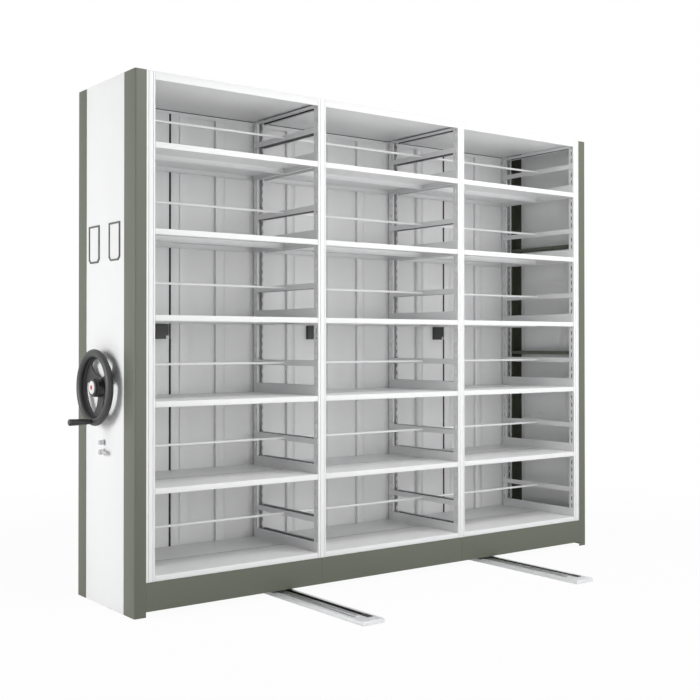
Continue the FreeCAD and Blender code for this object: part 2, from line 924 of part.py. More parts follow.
def rack():
    for line in range(bayCount + 1):
        front = frontUpright(line)
        pair = [front, mirrorY(front, rackMiddleY), frameTie(line)]
        saveNode("uprights_" + str(line + 1), pair)
    rails = []
    rods = []
    for bay in range(bayCount):
        faceLeft, faceRight = bayFaces(bay)
        brackets = []
        for tier in range(tierCount):
            top = shelfTop(tier)
            brackets.append(shelfBracket(faceLeft, 1, top))
            brackets.append(shelfBracket(faceRight, -1, top))
            rails.append(rodRail(faceLeft, 1, top + rodRise))
            rails.append(rodRail(faceRight, -1, top + rodRise))
            rods.append(cylinderX(faceLeft + sheet, faceRight - sheet, rackMiddleY, top + rodRise,
                                  rodDiameter / 2))
        saveNode("shelf_brackets_bay_" + str(bay + 1), brackets)
        saveNode("shelves_bay_" + str(bay + 1), bayBoards(bay))
    saveNode("rod_rails", rails)
    saveNode("stop_rods", rods)
    cap = endCap()
    decks = [topPanel(x0, x1) for x0, x1 in panelSpans()]
    saveNode("top_panels", decks + [cap, mirrorX(cap, carriageLength / 2)])
    saveNode("plinth_front", [plinth(x0, x1, 0, 1) for x0, x1 in panelSpans()])
    saveNode("plinth_rear", [plinth(x0, x1, uprightBack + sheet, -1) for x0, x1 in panelSpans()])


# ---------------------------------------------------------------- end panels and trims
def cornerTrim():
    """Folded cover of the left end's front corner: the front face, the side and a return."""
    path = [(trimReturn, frontTrimSide), (0, frontTrimSide), (0, 0), (trimFace, 0)]
    return roundedTrim(path, 0, sheet)


def rearCornerTrim():
    side = carriageDepth - rearTrimSide
    path = [(trimFace, carriageDepth), (0, carriageDepth), (0, side), (trimReturn, side)]
    return roundedTrim(path, carriageDepth, carriageDepth - sheet)


def roundedTrim(path, outerY, innerY):
    """Sheet along the path, bent round a radius at the carriage's corner."""
    trim = prismZ(foldedOutline(path, sheet), trimBottom, carriageHeight)
    trim = trim.makeFillet(trimCorner, verticalEdges(trim, 0, outerY))
    return trim.makeFillet(trimCorner - sheet, verticalEdges(trim, sheet, innerY))


def verticalEdges(shape, x, y):
    """The upright edges of a shape at one place in plan."""
    found = []
    for edge in shape.Edges:
        start, end = edge.Vertexes[0].Point, edge.Vertexes[-1].Point
        isUpright = abs(start.x - end.x) < 0.01 and abs(start.y - end.y) < 0.01
        if isUpright and abs(start.x - x) < 0.01 and abs(start.y - y) < 0.01:
            found.append(edge)
    return found


def endPanelSpan():
    return frontTrimSide + panelSeam, carriageDepth - rearTrimSide - panelSeam


def endPanel(holes):
    """White pan with folded and returned vertical edges."""
    y0, y1 = endPanelSpan()
    path = [
        (endPanelDepth, y0 + endPanelReturn),
        (endPanelDepth, y0),
        (0, y0),
        (0, y1),
        (endPanelDepth, y1),
        (endPanelDepth, y1 - endPanelReturn),
    ]
    panel = prismZ(foldedOutline(path[::-1], sheet), trimBottom, carriageHeight)
    return cutAll(panel, holes)


def panelHoles():
    x1 = sheet + overcut
    return [
        cylinderX(-overcut, x1, driveAxisY, wheelAxisZ, wheelShaftRadius + shaftHoleGap),
        cylinderX(-overcut, x1, lockY, buttonZ, stemRadius + stemHoleGap),
        cylinderX(-overcut, x1, lockY, leverZ, stemRadius + stemHoleGap),
    ]


def crossbar(z):
    """Channel across the end cavity, open side down, between the panel's returns and the uprights."""
    x0 = endPanelDepth
    z1 = z + crossbarHeight
    path = [(endCavity, z), (endCavity, z1), (x0, z1), (x0, z)]
    return prismY(foldedOutline(path, sheet), uprightFront, uprightBack)


def labelHolder(y):
    """Thin frame with square top corners and chamfered bottom corners, and a window."""
    def outline(inset):
        half = labelWidth / 2 - inset
        z0 = labelBottom + inset
        z1 = labelBottom + labelHeight - inset
        cut = labelChamfer - inset * (2 - math.sqrt(2))
        return [
            (y - half + cut, z0),
            (y + half - cut, z0),
            (y + half, z0 + cut),
            (y + half, z1),
            (y - half, z1),
            (y - half, z0 + cut),
        ]
    frame = prismX(outline(0), -labelThickness, 0)
    return frame.cut(prismX(outline(labelBorder), -labelThickness - overcut, overcut))


def ends():
    leftTrims = [cornerTrim(), rearCornerTrim()]
    saveNode("trims_left", leftTrims)
    saveNode("trims_right", [mirrorX(trim, carriageLength / 2) for trim in leftTrims])
    saveNode("end_panel_left", [endPanel(panelHoles())])
    saveNode("end_panel_right", [mirrorX(endPanel([]), carriageLength / 2)])
    bars = [crossbar(z) for z in crossbarLevels]
    bars += [mirrorX(bar, carriageLength / 2) for bar in bars]
    saveNode("panel_crossbars", bars)
    saveNode("label_holders", [labelHolder(labelMiddle + side * labelOffset) for side in (-1, 1)])


# ---------------------------------------------------------------- handwheel
def handwheelBody():
    """Moulded wheel: oval rim, dished web and hub turned in one, then three windows cut from the web."""
    axis = Vector(0, driveAxisY, wheelAxisZ)
    rimCentre = Vector(rimPlaneX, driveAxisY, wheelAxisZ + rimRadius)
    rimTop = rimCentre + Vector(0, 0, rimHalfHeight)
    rimSide = rimCentre + Vector(rimHalfWidth, 0, 0)
    rimEdge = Part.Ellipse(rimTop, rimSide, rimCentre)
    rim = Part.Face(Part.Wire(rimEdge.toShape())).revolve(axis, Vector(1, 0, 0), 360)
    hubBack = -bossLength - bossGap
    outline = [
        (hubBack, wheelShaftRadius),
        (hubFront + hubDish, wheelShaftRadius),
        (hubFront + hubDish, capRadius - capSeat),
        (hubFront, capRadius - capSeat + hubEdge),
        (hubFront, hubInnerRadius),
        (hubFront + hubEdge, hubRadius),
        (hubStepX, hubRadius),
        (hubStepX + hubEdge, hubRootRadius),
        (webHubX, hubRootRadius),
        (webRimX, webRimRadius),
        (rimPlaneX + webJoint, webRimRadius + webJoint),
        (rimPlaneX + 2 * webJoint, rimRadius + webJoint),
        (webRimX + webWall, webRimRadius + webWall),
        (webHubX + webWall, hubRootRadius),
        (hubBack, hubRootRadius - hubEdge),
    ]
    web = revolveX(outline, driveAxisY, wheelAxisZ)
    reach = cylinderX(hubFront, hubBack, driveAxisY, wheelAxisZ, windowReach)
    disc = cylinderX(hubFront, hubBack, driveAxisY, wheelAxisZ + windowOffset, windowRadius)
    window = disc.common(reach)
    corners = [e for e in window.Edges if isCornerEdge(e)]
    window = window.makeFillet(windowFillet, corners)
    windows = []
    for index in range(spokeCount):
        copy = window.copy()
        copy.rotate(axis, Vector(1, 0, 0), index * 360.0 / spokeCount)
        windows.append(copy)
    body = rim.fuse(web.cut(Part.makeCompound(windows))).removeSplitter()
    crankZ = wheelAxisZ - crankRadius
    rimFront = rimPlaneX - rimHalfWidth
    rimBack = rimPlaneX + rimHalfWidth
    seat = cylinderX(rimFront - overcut, rimFront + seatDepth, driveAxisY, crankZ, collarRadius + seatFit)
    stud = cylinderX(rimFront, rimBack + overcut, driveAxisY, crankZ, spindleRadius)
    return body.cut(Part.makeCompound([seat, stud]))


def isCornerEdge(edge):
    """Straight edges along X, where the window's two arcs meet."""
    return len(edge.Vertexes) == 2 and abs(edge.Vertexes[0].X - edge.Vertexes[1].X) > webWall


def crank():
    z = wheelAxisZ - crankRadius
    seat = rimPlaneX - rimHalfWidth + seatDepth
    rear = rimPlaneX + rimHalfWidth - turnedEdge
    collarEnd = seat - collarLength
    gripEnd = collarEnd - gripLength
    spindleEnd = gripEnd + gripSpindleEnd
    outline = [
        (rear, 0),
        (rear, spindleRadius),
        (seat, spindleRadius),
        (seat, collarRadius),
        (collarEnd + runningGap + turnedEdge, collarRadius),
        (collarEnd + runningGap, collarRadius - turnedEdge),
        (collarEnd + runningGap, spindleRadius),
        (spindleEnd, spindleRadius),
        (spindleEnd, 0),
    ]
    spindle = revolveX(outline, driveAxisY, z)
    return spindle, crankGrip(collarEnd, gripEnd, z)


def crankGrip(start, end, z):
    """Handle that swells towards a rounded end, with a blind bore for the spindle."""
    def place(x, radius):
        return Vector(x, driveAxisY, z + radius)

    swell = Part.BSplineCurve()
    belly = (gripRadius + gripEndRadius) / 2
    shoulder = end + gripEndRound
    swell.interpolate([
        place(start, gripCollarRadius),
        place(start - gripLength / 4, gripRadius),
        place(start - gripLength * 0.6, belly),
        place(shoulder, gripEndRadius),
    ])
    flat = gripEndRadius - gripEndRound
    slant = gripEndRound * math.sqrt(0.5)
    nose = Part.Arc(place(shoulder, gripEndRadius), place(shoulder - slant, flat + slant), place(end, flat))
    floor = end + gripWall
    corners = [
        place(end, flat),
        place(end, 0),
        place(floor, 0),
        place(floor, gripBore),
        place(start, gripBore),
        place(start, gripCollarRadius),
    ]
    edges = [swell.toShape(), nose.toShape()] + Part.makePolygon(corners).Edges
    face = Part.Face(Part.Wire(Part.__sortEdges__(edges)))
    return face.revolve(place(0, 0), Vector(1, 0, 0), 360)


def handwheel():
    saveNode("handwheel", [handwheelBody()])
    capBack = hubFront - capFit
    outline = [
        (hubFront + hubDish, 0),
        (hubFront + hubDish, capRadius - capSeat - capFit * 3),
        (capBack, capRadius - capSeat + capFit),
        (capBack, capRadius),
        (capBack - capEdge, capRadius - capEdge / 2),
        (hubFront - capRise, capRadius - capSeat - hubEdge),
        (hubFront - capRise, 0),
    ]
    saveNode("wheel_cap", [revolveX(outline, driveAxisY, wheelAxisZ)])
    spindle, grip = crank()
    saveNode("crank_spindle", [spindle])
    saveNode("crank_grip", [grip])
    shaftEnd = endCavity + bearingWidth + shaftProud
    shaft = cylinderX(hubFront + hubDish, shaftEnd, driveAxisY, wheelAxisZ, wheelShaftRadius)
    saveNode("wheel_shaft", [shaft, sprocket(upperTeeth, wheelAxisZ, wheelShaftRadius)])
    boss = [
        (0, wheelShaftRadius + axleFit),
        (0, bossRadius + bossFlange),
        (-bossFlangeWidth, bossRadius + bossFlange),
        (-bossFlangeWidth - bossTaper, bossRadius),
        (-bossLength, bossRadius - bossTaper),
        (-bossLength, wheelShaftRadius + axleFit),
    ]
    saveNode("wheel_boss", [revolveX(boss, driveAxisY, wheelAxisZ)])


# ---------------------------------------------------------------- locks on the end panel
def rosette(z, bore, radius):
    ring = [
        (0, bore),
        (0, radius),
        (-rosetteThickness + rosetteEdge, radius),
        (-rosetteThickness, radius - rosetteEdge),
        (-rosetteThickness, bore),
    ]
    return revolveX(ring, lockY, z)


def turnedKnob(z, reach, radius, back):
    """Knob with a bevelled end in front of the panel, on a stem that passes through it."""
    outline = [
        (-reach, 0),
        (-reach, radius - turnedEdge),
        (-reach + turnedEdge, radius),
        (back, radius),
        (back, stemRadius),
        (stemLength, stemRadius),
        (stemLength, 0),
    ]
    return revolveX(outline, lockY, z)


def leverArmPrism():
    """Tapered arm that points forwards, set a little behind the hub's end."""
    x0 = -leverReach + leverSink
    tipY = lockY - leverArm
    tip = leverTipHeight / 2
    root = leverHeight / 2
    outline = [
        (lockY, leverZ - root),
        (lockY, leverZ + root),
        (tipY + tip, leverZ + tip),
        (tipY, leverZ + tip - leverTipBevel),
        (tipY, leverZ - tip + leverTipBevel),
        (tipY + tip, leverZ - tip),
    ]
    return prismX(outline, x0, x0 + leverWall)


def panelLocks():
    leverBore = leverHubRadius + lockFit
    rings = [
        rosette(buttonZ, buttonRadius + lockFit, lockRosetteRadius),
        rosette(leverZ, leverBore, leverBore + leverRingWall),
    ]
    saveNode("lock_rosettes", rings)
    saveNode("lock_button", [turnedKnob(buttonZ, buttonReach, buttonRadius, -buttonTravel - runningGap)])
    hub = turnedKnob(leverZ, leverReach, leverHubRadius, -runningGap)
    saveNode("lock_lever", [fuseAll([hub, leverArmPrism()])])


# ---------------------------------------------------------------- back doors
def leafSpans(bay):
    """X spans of a bay's left and right leaves."""
    left = seamX(bay) + doorEdgeGap
    right = seamX(bay + 1) - doorEdgeGap
    middle = left + leftLeafWidth
    return (left, middle), (middle + doorGap, right)


def doorLeaf(outerEdge, freeEdge, freeReturn, stiffenerStart):
    """Pan with four folded edges, returns round the inside, and an upright stiffener flush with them."""
    wall = thinSheet
    inwards = 1 if freeEdge > outerEdge else -1
    x0, x1 = sorted((outerEdge, freeEdge))
    y0 = doorFront
    y1 = doorFront + doorThickness
    block = box(x0, x1, y0, y1, doorBottom, doorTop)
    cavity = box(x0 + wall, x1 - wall, y0 + wall, y1 - wall, doorBottom + wall, doorTop - wall)
    mouthX = sorted((outerEdge + inwards * doorReturn, freeEdge - inwards * freeReturn))
    mouth = box(mouthX[0], mouthX[1], y0 - overcut, y0 + wall, doorBottom + doorReturn, doorTop - doorReturn)
    leaf = block.cut(cavity.fuse(mouth))
    hat0, hat1 = sorted(outerEdge + inwards * (stiffenerStart + width) for width in (0, stiffenerWidth))
    skin = y1 - wall
    path = [(hat0, skin), (hat0, y0), (hat1, y0), (hat1, skin)]
    hat = prismZ(foldedOutline(path, wall), doorBottom + wall, doorTop - wall)
    leaf = leaf.fuse(hat).removeSplitter()
    pivotX = outerEdge + inwards * pivotInset
    pivotY = y0 + doorThickness / 2
    radius = pivotRadius + pivotFit
    holes = [
        cylinderZ(doorBottom - overcut, doorBottom + wall + overcut, pivotX, pivotY, radius),
        cylinderZ(doorTop - wall - overcut, doorTop + overcut, pivotX, pivotY, radius),
    ]
    return leaf.cut(Part.makeCompound(holes))


def lockPlace(freeEdge):
    """Axis of a leaf's lock: X and Z."""
    return freeEdge - lockCaseInset - lockAxisInset, lockCaseTop - lockCaseHeight + lockAxisRise


def lockCase(freeEdge):
    """Tray open towards the leaf, with a notched corner and a slot for the tongue in its free side."""
    x1 = freeEdge - lockCaseInset
    x0 = x1 - lockCaseWidth
    y1 = doorFront
    y0 = y1 - lockCaseDepth
    z1 = lockCaseTop
    z0 = z1 - lockCaseHeight
    outline = [
        (x0, z0),
        (x1 - lockNotchWidth, z0),
        (x1 - lockNotchWidth, z0 + lockNotchHeight),
        (x1, z0 + lockNotchHeight),
        (x1, z1),
        (x0, z1),
    ]
    block = prismY(outline, y0, y1)
    edges = [e for e in block.Edges if e.BoundBox.YMax < y0 + runningGap]
    block = block.makeFillet(lockCaseEdge, edges)
    wall = lockCaseWall
    left = x1 - lockNotchWidth - wall
    low = z0 + lockNotchHeight + wall
    room = box(x0 + wall, left, y0 + wall, y1 + overcut, z0 + wall, z1 - wall)
    side = box(left, x1 - wall, y0 + wall, y1 + overcut, low, z1 - wall)
    axisX, axisZ = lockPlace(freeEdge)
    reach = tongueWidth / 2 + tongueGap
    slotY = doorFront - tongueInset - tongueWall - tongueGap
    slot = box(x1 - wall - overcut, x1 + overcut, slotY, y1 + overcut, axisZ - reach, z1 - wall)
    return block.cut(fuseAll([room, side, slot]))


def lockTongue(freeEdge):
    """Cylinder plug with a head outside the leaf and a tongue inside the case, pointing up at rest."""
    axisX, axisZ = lockPlace(freeEdge)
    skin = doorFront + doorThickness
    y0 = doorFront - tongueInset - tongueWall
    y1 = doorFront - tongueInset
    half = tongueWidth / 2
    plug = cylinderY(y0, skin + runningGap, axisX, axisZ, lockBarrelRadius)
    headFace = skin + runningGap + lockHeadWall
    head = cylinderY(skin + runningGap, headFace, axisX, axisZ, lockHeadRadius)
    keyway = box(axisX - keywayWidth / 2, axisX + keywayWidth / 2,
                 headFace - keywayDepth, headFace + overcut,
                 axisZ - keywayHeight / 2, axisZ + keywayHeight / 2)
    outline = [
        (axisX - half, axisZ),
        (axisX + half, axisZ),
        (axisX + half, axisZ + tongueLength - tongueEdge),
        (axisX + half - tongueEdge, axisZ + tongueLength),
        (axisX - half + tongueEdge, axisZ + tongueLength),
        (axisX - half, axisZ + tongueLength - tongueEdge),
    ]
    tongue = prismY(outline, y0, y1)
    return fuseAll([plug, head, tongue]).cut(keyway)


def edgeSeal(freeEdge):
    """Bevelled rubber strip along a leaf's free edge."""
    x0 = freeEdge
    x1 = freeEdge + sealWidth
    y0 = doorFront + sealInset
    y1 = doorFront + doorThickness - sealInset
    corner = x1 - sealBevel
    outline = [(x0, y0), (corner, y0), (x1, y0 + sealBevel), (x1, y1 - sealBevel), (corner, y1), (x0, y1)]
    return prismZ(outline, doorBottom + sealInset, doorTop - sealInset)


def pivotBracket(pivotX, level, direction):
    """Angle fixed to the rack's back with a pin that enters the leaf's edge."""
    half = pivotPlateWidth / 2
    y0 = uprightBack + sheet
    pivotY = doorFront + doorThickness / 2
    y1 = pivotY + pivotRadius + pivotPlateMargin
    path = [(y0, level - direction * pivotPlateLeg), (y0, level), (y1, level)]
    if direction < 0:
        path = path[::-1]
    plate = prismX(foldedOutline(path[::-1], pivotPlate), pivotX - half, pivotX + half)
    start, end = sorted((level, level + direction * pivotLength))
    pin = cylinderZ(start, end, pivotX, pivotY, pivotRadius)
    return fuseAll([plate, pin])


def doors():
    brackets = []
    for bay in range(bayCount):
        (l0, l1), (r0, r1) = leafSpans(bay)
        left = doorLeaf(l0, l1, lockStile, leftStiffener)
        right = doorLeaf(r1, r0, doorReturn, rightStiffener)
        axisX, axisZ = lockPlace(l1)
        skin = doorFront + doorThickness
        radius = lockBarrelRadius + lockFit
        lockHole = cylinderY(doorFront - overcut, skin + overcut, axisX, axisZ, radius)
        saveNode("door_left_" + str(bay + 1), [left.cut(lockHole)])
        saveNode("door_right_" + str(bay + 1), [right])
        saveNode("door_seal_" + str(bay + 1), [edgeSeal(l1)])
        saveNode("lock_case_" + str(bay + 1), [lockCase(l1)])
        saveNode("lock_tongue_" + str(bay + 1), [lockTongue(l1)])
        for pivotX in (l0 + pivotInset, r1 - pivotInset):
            brackets.append(pivotBracket(pivotX, doorBottom - runningGap, 1))
            brackets.append(pivotBracket(pivotX, doorTop + runningGap, -1))
    saveNode("door_pivots", brackets)


os.makedirs("parts", exist_ok=True)
floorTrack()
chassis()
driveLine()
rack()
ends()
handwheel()
panelLocks()
doors()
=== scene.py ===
import json
import math

import bmesh
import bpy
from mathutils import Matrix, Vector


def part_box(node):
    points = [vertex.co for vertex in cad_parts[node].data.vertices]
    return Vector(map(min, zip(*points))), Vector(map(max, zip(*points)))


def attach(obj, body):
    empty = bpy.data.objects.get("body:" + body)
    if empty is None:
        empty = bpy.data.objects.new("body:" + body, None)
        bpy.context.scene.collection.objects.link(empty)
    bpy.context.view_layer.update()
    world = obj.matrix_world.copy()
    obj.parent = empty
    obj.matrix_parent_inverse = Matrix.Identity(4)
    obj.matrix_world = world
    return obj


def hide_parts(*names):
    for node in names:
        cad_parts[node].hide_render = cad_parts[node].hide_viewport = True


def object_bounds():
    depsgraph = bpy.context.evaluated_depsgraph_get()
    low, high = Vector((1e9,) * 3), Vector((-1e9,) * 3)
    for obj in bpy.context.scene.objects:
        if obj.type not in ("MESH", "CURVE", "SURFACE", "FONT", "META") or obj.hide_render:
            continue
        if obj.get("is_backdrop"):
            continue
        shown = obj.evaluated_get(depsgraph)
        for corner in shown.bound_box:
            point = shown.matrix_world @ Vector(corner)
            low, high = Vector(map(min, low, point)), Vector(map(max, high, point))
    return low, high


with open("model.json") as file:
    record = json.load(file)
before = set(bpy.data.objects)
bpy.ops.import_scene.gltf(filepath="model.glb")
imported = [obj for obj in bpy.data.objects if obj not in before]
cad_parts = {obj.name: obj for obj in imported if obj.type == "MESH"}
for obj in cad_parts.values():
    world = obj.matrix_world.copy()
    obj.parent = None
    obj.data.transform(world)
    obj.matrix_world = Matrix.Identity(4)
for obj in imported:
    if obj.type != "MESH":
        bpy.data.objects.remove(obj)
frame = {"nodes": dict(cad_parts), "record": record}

nodes = frame["nodes"]
record = frame["record"]
cadLow, cadHigh = (Vector(corner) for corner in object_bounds())
bodyOfNode = {name: body for body, names in record["behaviour"]["bodies"].items() for name in names}
slotOfNode = {part["node"]: part["material_slot"] for part in record["subparts"]}
jointPlace = {joint["name"]: Vector(joint["pos_m"])
              for joint in record["behaviour"]["joints"] if "pos_m" in joint}
print("frame loaded", len(nodes), "nodes")


# a socket whose sums become Math nodes
class Socket:
    def __init__(self, shader, socket):
        self.shader = shader
        self.socket = socket

    def maths(self, operation, *values):
        return self.shader.add("ShaderNodeMath", {"operation": operation}, dict(enumerate(values)))

    def __add__(self, other):
        return self.maths("ADD", self, other)

    __radd__ = __add__

    def __mul__(self, other):
        return self.maths("MULTIPLY", self, other)

    __rmul__ = __mul__

    def __sub__(self, other):
        return self.maths("SUBTRACT", self, other)

    def __rsub__(self, other):
        return self.maths("SUBTRACT", other, self)


# the nodes of a new material or of the world, and one way to add any node to them
class Shader:
    def __init__(self, name, world=None):
        self.material = world or bpy.data.materials.new(name)
        self.material.use_nodes = True
        self.tree = self.material.node_tree
        self.main = self.tree.nodes.get("Principled BSDF")
        self.place = self.add("ShaderNodeTexCoord", {}, {}, "Object")

    def add(self, kind, settings, values, output=0):
        node = self.tree.nodes.new(kind)
        for key, value in settings.items():
            if key == "stops":
                ramp = node.color_ramp.elements
                while len(ramp) < len(value):
                    ramp.new(0.5)
                for element, (position, tone) in zip(ramp, value):
                    element.position = position
                    element.color = (tone, tone, tone, 1) if isinstance(tone, (int, float)) else (*tone, 1)
            else:
                setattr(node, key, value)
        for key, value in values.items():
            self.feed(node.inputs[key], value)
        return Socket(self, node.outputs[output])

    def feed(self, target, value):
        if isinstance(value, Socket):
            self.tree.links.new(value.socket, target)
        elif hasattr(value, "__len__") and len(value) == 3 and target.type == "RGBA":
            target.default_value = (*value, 1)
        else:
            target.default_value = value

    def set(self, **values):
        for key, value in values.items():
            self.feed(self.main.inputs[key.replace("_", " ")], value)

    def noise(self, scale, detail=3, rough=0.5, stretch=None):
        where = self.place
        if stretch:
            where = self.add("ShaderNodeMapping", {}, {"Vector": self.place, "Scale": stretch})
        values = {"Vector": where, "Scale": scale, "Detail": detail, "Roughness": rough}
        return self.add("ShaderNodeTexNoise", {}, values)

    def cells(self, scale, feature="F1", output="Color"):
        values = {"Vector": self.place, "Scale": scale}
        return self.add("ShaderNodeTexVoronoi", {"feature": feature}, values, output)

    def ramp(self, value, stops):
        return self.add("ShaderNodeValToRGB", {"stops": stops}, {"Fac": value})

    def mix(self, share, first, second):
        return self.add("ShaderNodeMix", {"data_type": "RGBA"}, {0: share, 6: first, 7: second}, 2)

    def bump(self, height, strength, distance):
        return self.add("ShaderNodeBump", {}, {"Height": height, "Strength": strength, "Distance": distance})


# a colour made darker or lighter
def tint(colour, share):
    return tuple(channel * share for channel in colour)


# sprayed and baked coat: fine orange peel, with a slight unevenness in tone and gloss
def powderCoat(name, colour, rough=0.42, cloudy=0.03):
    coat = Shader(name)
    cloud = coat.noise(1.8, 4, 0.55)
    speck = coat.noise(520, 2, 0.6)
    tone = coat.ramp(cloud, [(0.3, tint(colour, 1 - cloudy)), (0.7, colour)])
    coat.set(Base_Color=coat.mix(speck * 0.06, tone, tint(colour, 0.88)))
    coat.set(Roughness=rough + (cloud - 0.5) * 0.10 + (speck - 0.5) * 0.06)
    coat.set(Normal=coat.bump(coat.noise(900, 2, 0.5), 0.25, 0.00006))
    coat.set(Specular_IOR_Level=0.45)
    return coat.material


# rolled and galvanised steel: a faint spangle and long rolling marks
def zincCoat(name, colour, rough=0.42):
    coat = Shader(name)
    grey = coat.add("ShaderNodeRGBToBW", {}, {"Color": coat.cells(90)})
    streak = coat.noise(30, 3, 0.5, stretch=(9, 0.15, 9))
    shade = coat.ramp(grey * 0.4 + streak * 0.6, [(0.25, tint(colour, 0.93)), (0.75, tint(colour, 1.03))])
    coat.set(Base_Color=shade, Metallic=0.25)
    coat.set(Roughness=rough + (grey - 0.5) * 0.16 + (streak - 0.5) * 0.12)
    coat.set(Normal=coat.bump(streak, 0.08, 0.00004))
    return coat.material


# turned or drawn steel: fine lines along or round the piece
def brightSteel(name, colour, rough, stretch):
    steel = Shader(name)
    lines = steel.noise(60, 5, 0.7, stretch=stretch)
    spots = steel.noise(9, 3, 0.5)
    steel.set(Base_Color=steel.ramp(spots, [(0.35, tint(colour, 0.9)), (0.7, colour)]), Metallic=1.0)
    steel.set(Roughness=rough + (lines - 0.5) * 0.22 + (spots - 0.5) * 0.08)
    steel.set(Normal=steel.bump(lines, 0.15, 0.00004))
    return steel.material


# mould grain, with a soft sheen worn into it by hands
def mouldedPlastic(name, colour, rough=0.5, grain=0.00012):
    plastic = Shader(name)
    wear = plastic.noise(11, 4, 0.6)
    plastic.set(Base_Color=plastic.ramp(wear, [(0.3, tint(colour, 0.88)), (0.75, tint(colour, 1.12))]))
    plastic.set(Roughness=rough + (wear - 0.5) * 0.18)
    plastic.set(Normal=plastic.bump(plastic.cells(1500, "SMOOTH_F1", "Distance"), 0.35, grain))
    return plastic.material


def rubberSkin(name, colour):
    rubber = Shader(name)
    bloom = rubber.noise(30, 5, 0.65)
    rubber.set(Base_Color=rubber.ramp(bloom, [(0.35, colour), (0.8, tint(colour, 1.9))]))
    rubber.set(Roughness=0.72 + (bloom - 0.5) * 0.2)
    rubber.set(Normal=rubber.bump(rubber.noise(700, 3, 0.6), 0.3, 0.0001))
    return rubber.material


# thin card with faint fibres
def cardPaper(name, colour):
    card = Shader(name)
    fibre = card.noise(260, 5, 0.7, stretch=(1, 1, 3))
    card.set(Base_Color=card.ramp(fibre, [(0.3, tint(colour, 0.94)), (0.7, colour)]), Roughness=0.85)
    card.set(Normal=card.bump(fibre, 0.15, 0.00004))
    return card.material


finishes = {
    "white_powder_coat": powderCoat("whitePowderCoat", (0.90, 0.902, 0.906), 0.42, 0.012),
    "olive_powder_coat": powderCoat("olivePowderCoat", (0.132, 0.143, 0.109), 0.52),
    "galvanised_steel": zincCoat("zincSteel", (0.83, 0.84, 0.845)),
    "bright_steel": brightSteel("brightSteel", (0.56, 0.56, 0.57), 0.32, (1, 0.05, 1)),
    "satin_chrome": brightSteel("satinMetal", (0.60, 0.60, 0.61), 0.26, (0.1, 1, 1)),
    "chain_steel": brightSteel("chainSteel", (0.20, 0.19, 0.18), 0.36, (1, 1, 1)),
    "charcoal_plastic": mouldedPlastic("charcoalPlastic", (0.036, 0.036, 0.037), 0.46),
    "black_plastic": mouldedPlastic("blackPlastic", (0.028, 0.028, 0.029), 0.42),
    "white_plastic": mouldedPlastic("whitePlastic", (0.80, 0.80, 0.79), 0.3, 0.00003),
    "black_rubber": rubberSkin("blackRubber", (0.022, 0.022, 0.022)),
    "dark_chassis_paint": powderCoat("chassisPaint", (0.045, 0.045, 0.046), 0.5, 0.2),
    "dark_frame": powderCoat("framePaint", (0.12, 0.125, 0.110), 0.45),
}
extras = {
    "rodCoat": powderCoat("rodPowderCoat", (0.93, 0.93, 0.93), 0.35, 0.01),
    "card": cardPaper("cardPaper", (0.90, 0.90, 0.90)),
    "redDot": mouldedPlastic("redInk", (0.52, 0.03, 0.045), 0.35, 0.00003),
}
for name, node in nodes.items():
    node.data.materials.clear()
    node.data.materials.append(finishes[slotOfNode[name]])
print("finishes made", len(finishes) + len(extras))


# the corners of a node's box
def cornersOf(name):
    return [Vector(corner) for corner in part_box(name)]


# turns a bmesh into a piece that rides on a body and may stand for solids
def addPiece(name, shape, material, body, stands=()):
    mesh = bpy.data.meshes.new(name)
    shape.to_mesh(mesh)
    shape.free()
    mesh.materials.append(material)
    piece = bpy.data.objects.new(name, mesh)
    bpy.context.scene.collection.objects.link(piece)
    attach(piece, body)
    if stands:
        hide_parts(*stands)
    return piece


# gives a piece of open faces its wall, behind the faces
def addWall(piece, thickness):
    wall = piece.modifiers.new("wall", "SOLIDIFY")
    wall.thickness = thickness
    wall.offset = -1


# a box in a shape, by its size and its middle
def addBar(shape, size, middle):
    verts = bmesh.ops.create_cube(shape, size=1)["verts"]
    bmesh.ops.scale(shape, verts=verts, vec=size)
    bmesh.ops.translate(shape, verts=verts, vec=middle)
    return verts


def bevelEdges(shape, edges, width, segments):
    return bmesh.ops.bevel(shape, geom=edges, offset=width, offset_type="OFFSET", segments=segments,
                           profile=0.5, affect="EDGES", clamp_overlap=True, material=-1)["faces"]


# curved faces and rounded edges shade smoothly, flat ones stay flat
def shadeByShape(shape, rounded=(), limit=32):
    rounded = set(rounded)
    for edge in shape.edges:
        edge.smooth = len(edge.link_faces) == 2 and edge.calc_face_angle(0) < math.radians(limit)
    for face in shape.faces:
        angles = [edge.calc_face_angle(0) for edge in face.edges if len(edge.link_faces) == 2]
        curved = any(math.radians(0.6) < angle < math.radians(limit) for angle in angles)
        face.smooth = curved or face in rounded
    for face in rounded:
        for edge in face.edges:
            edge.smooth = True


# a solid's loose triangles welded and its flat faces joined
def weldedCopy(name):
    shape = bmesh.new()
    shape.from_mesh(nodes[name].data)
    bmesh.ops.remove_doubles(shape, verts=shape.verts, dist=0.00002)
    bmesh.ops.dissolve_limit(shape, angle_limit=math.radians(0.3), verts=shape.verts, edges=shape.edges,
                             use_dissolve_boundaries=False)
    shape.normal_update()
    return shape


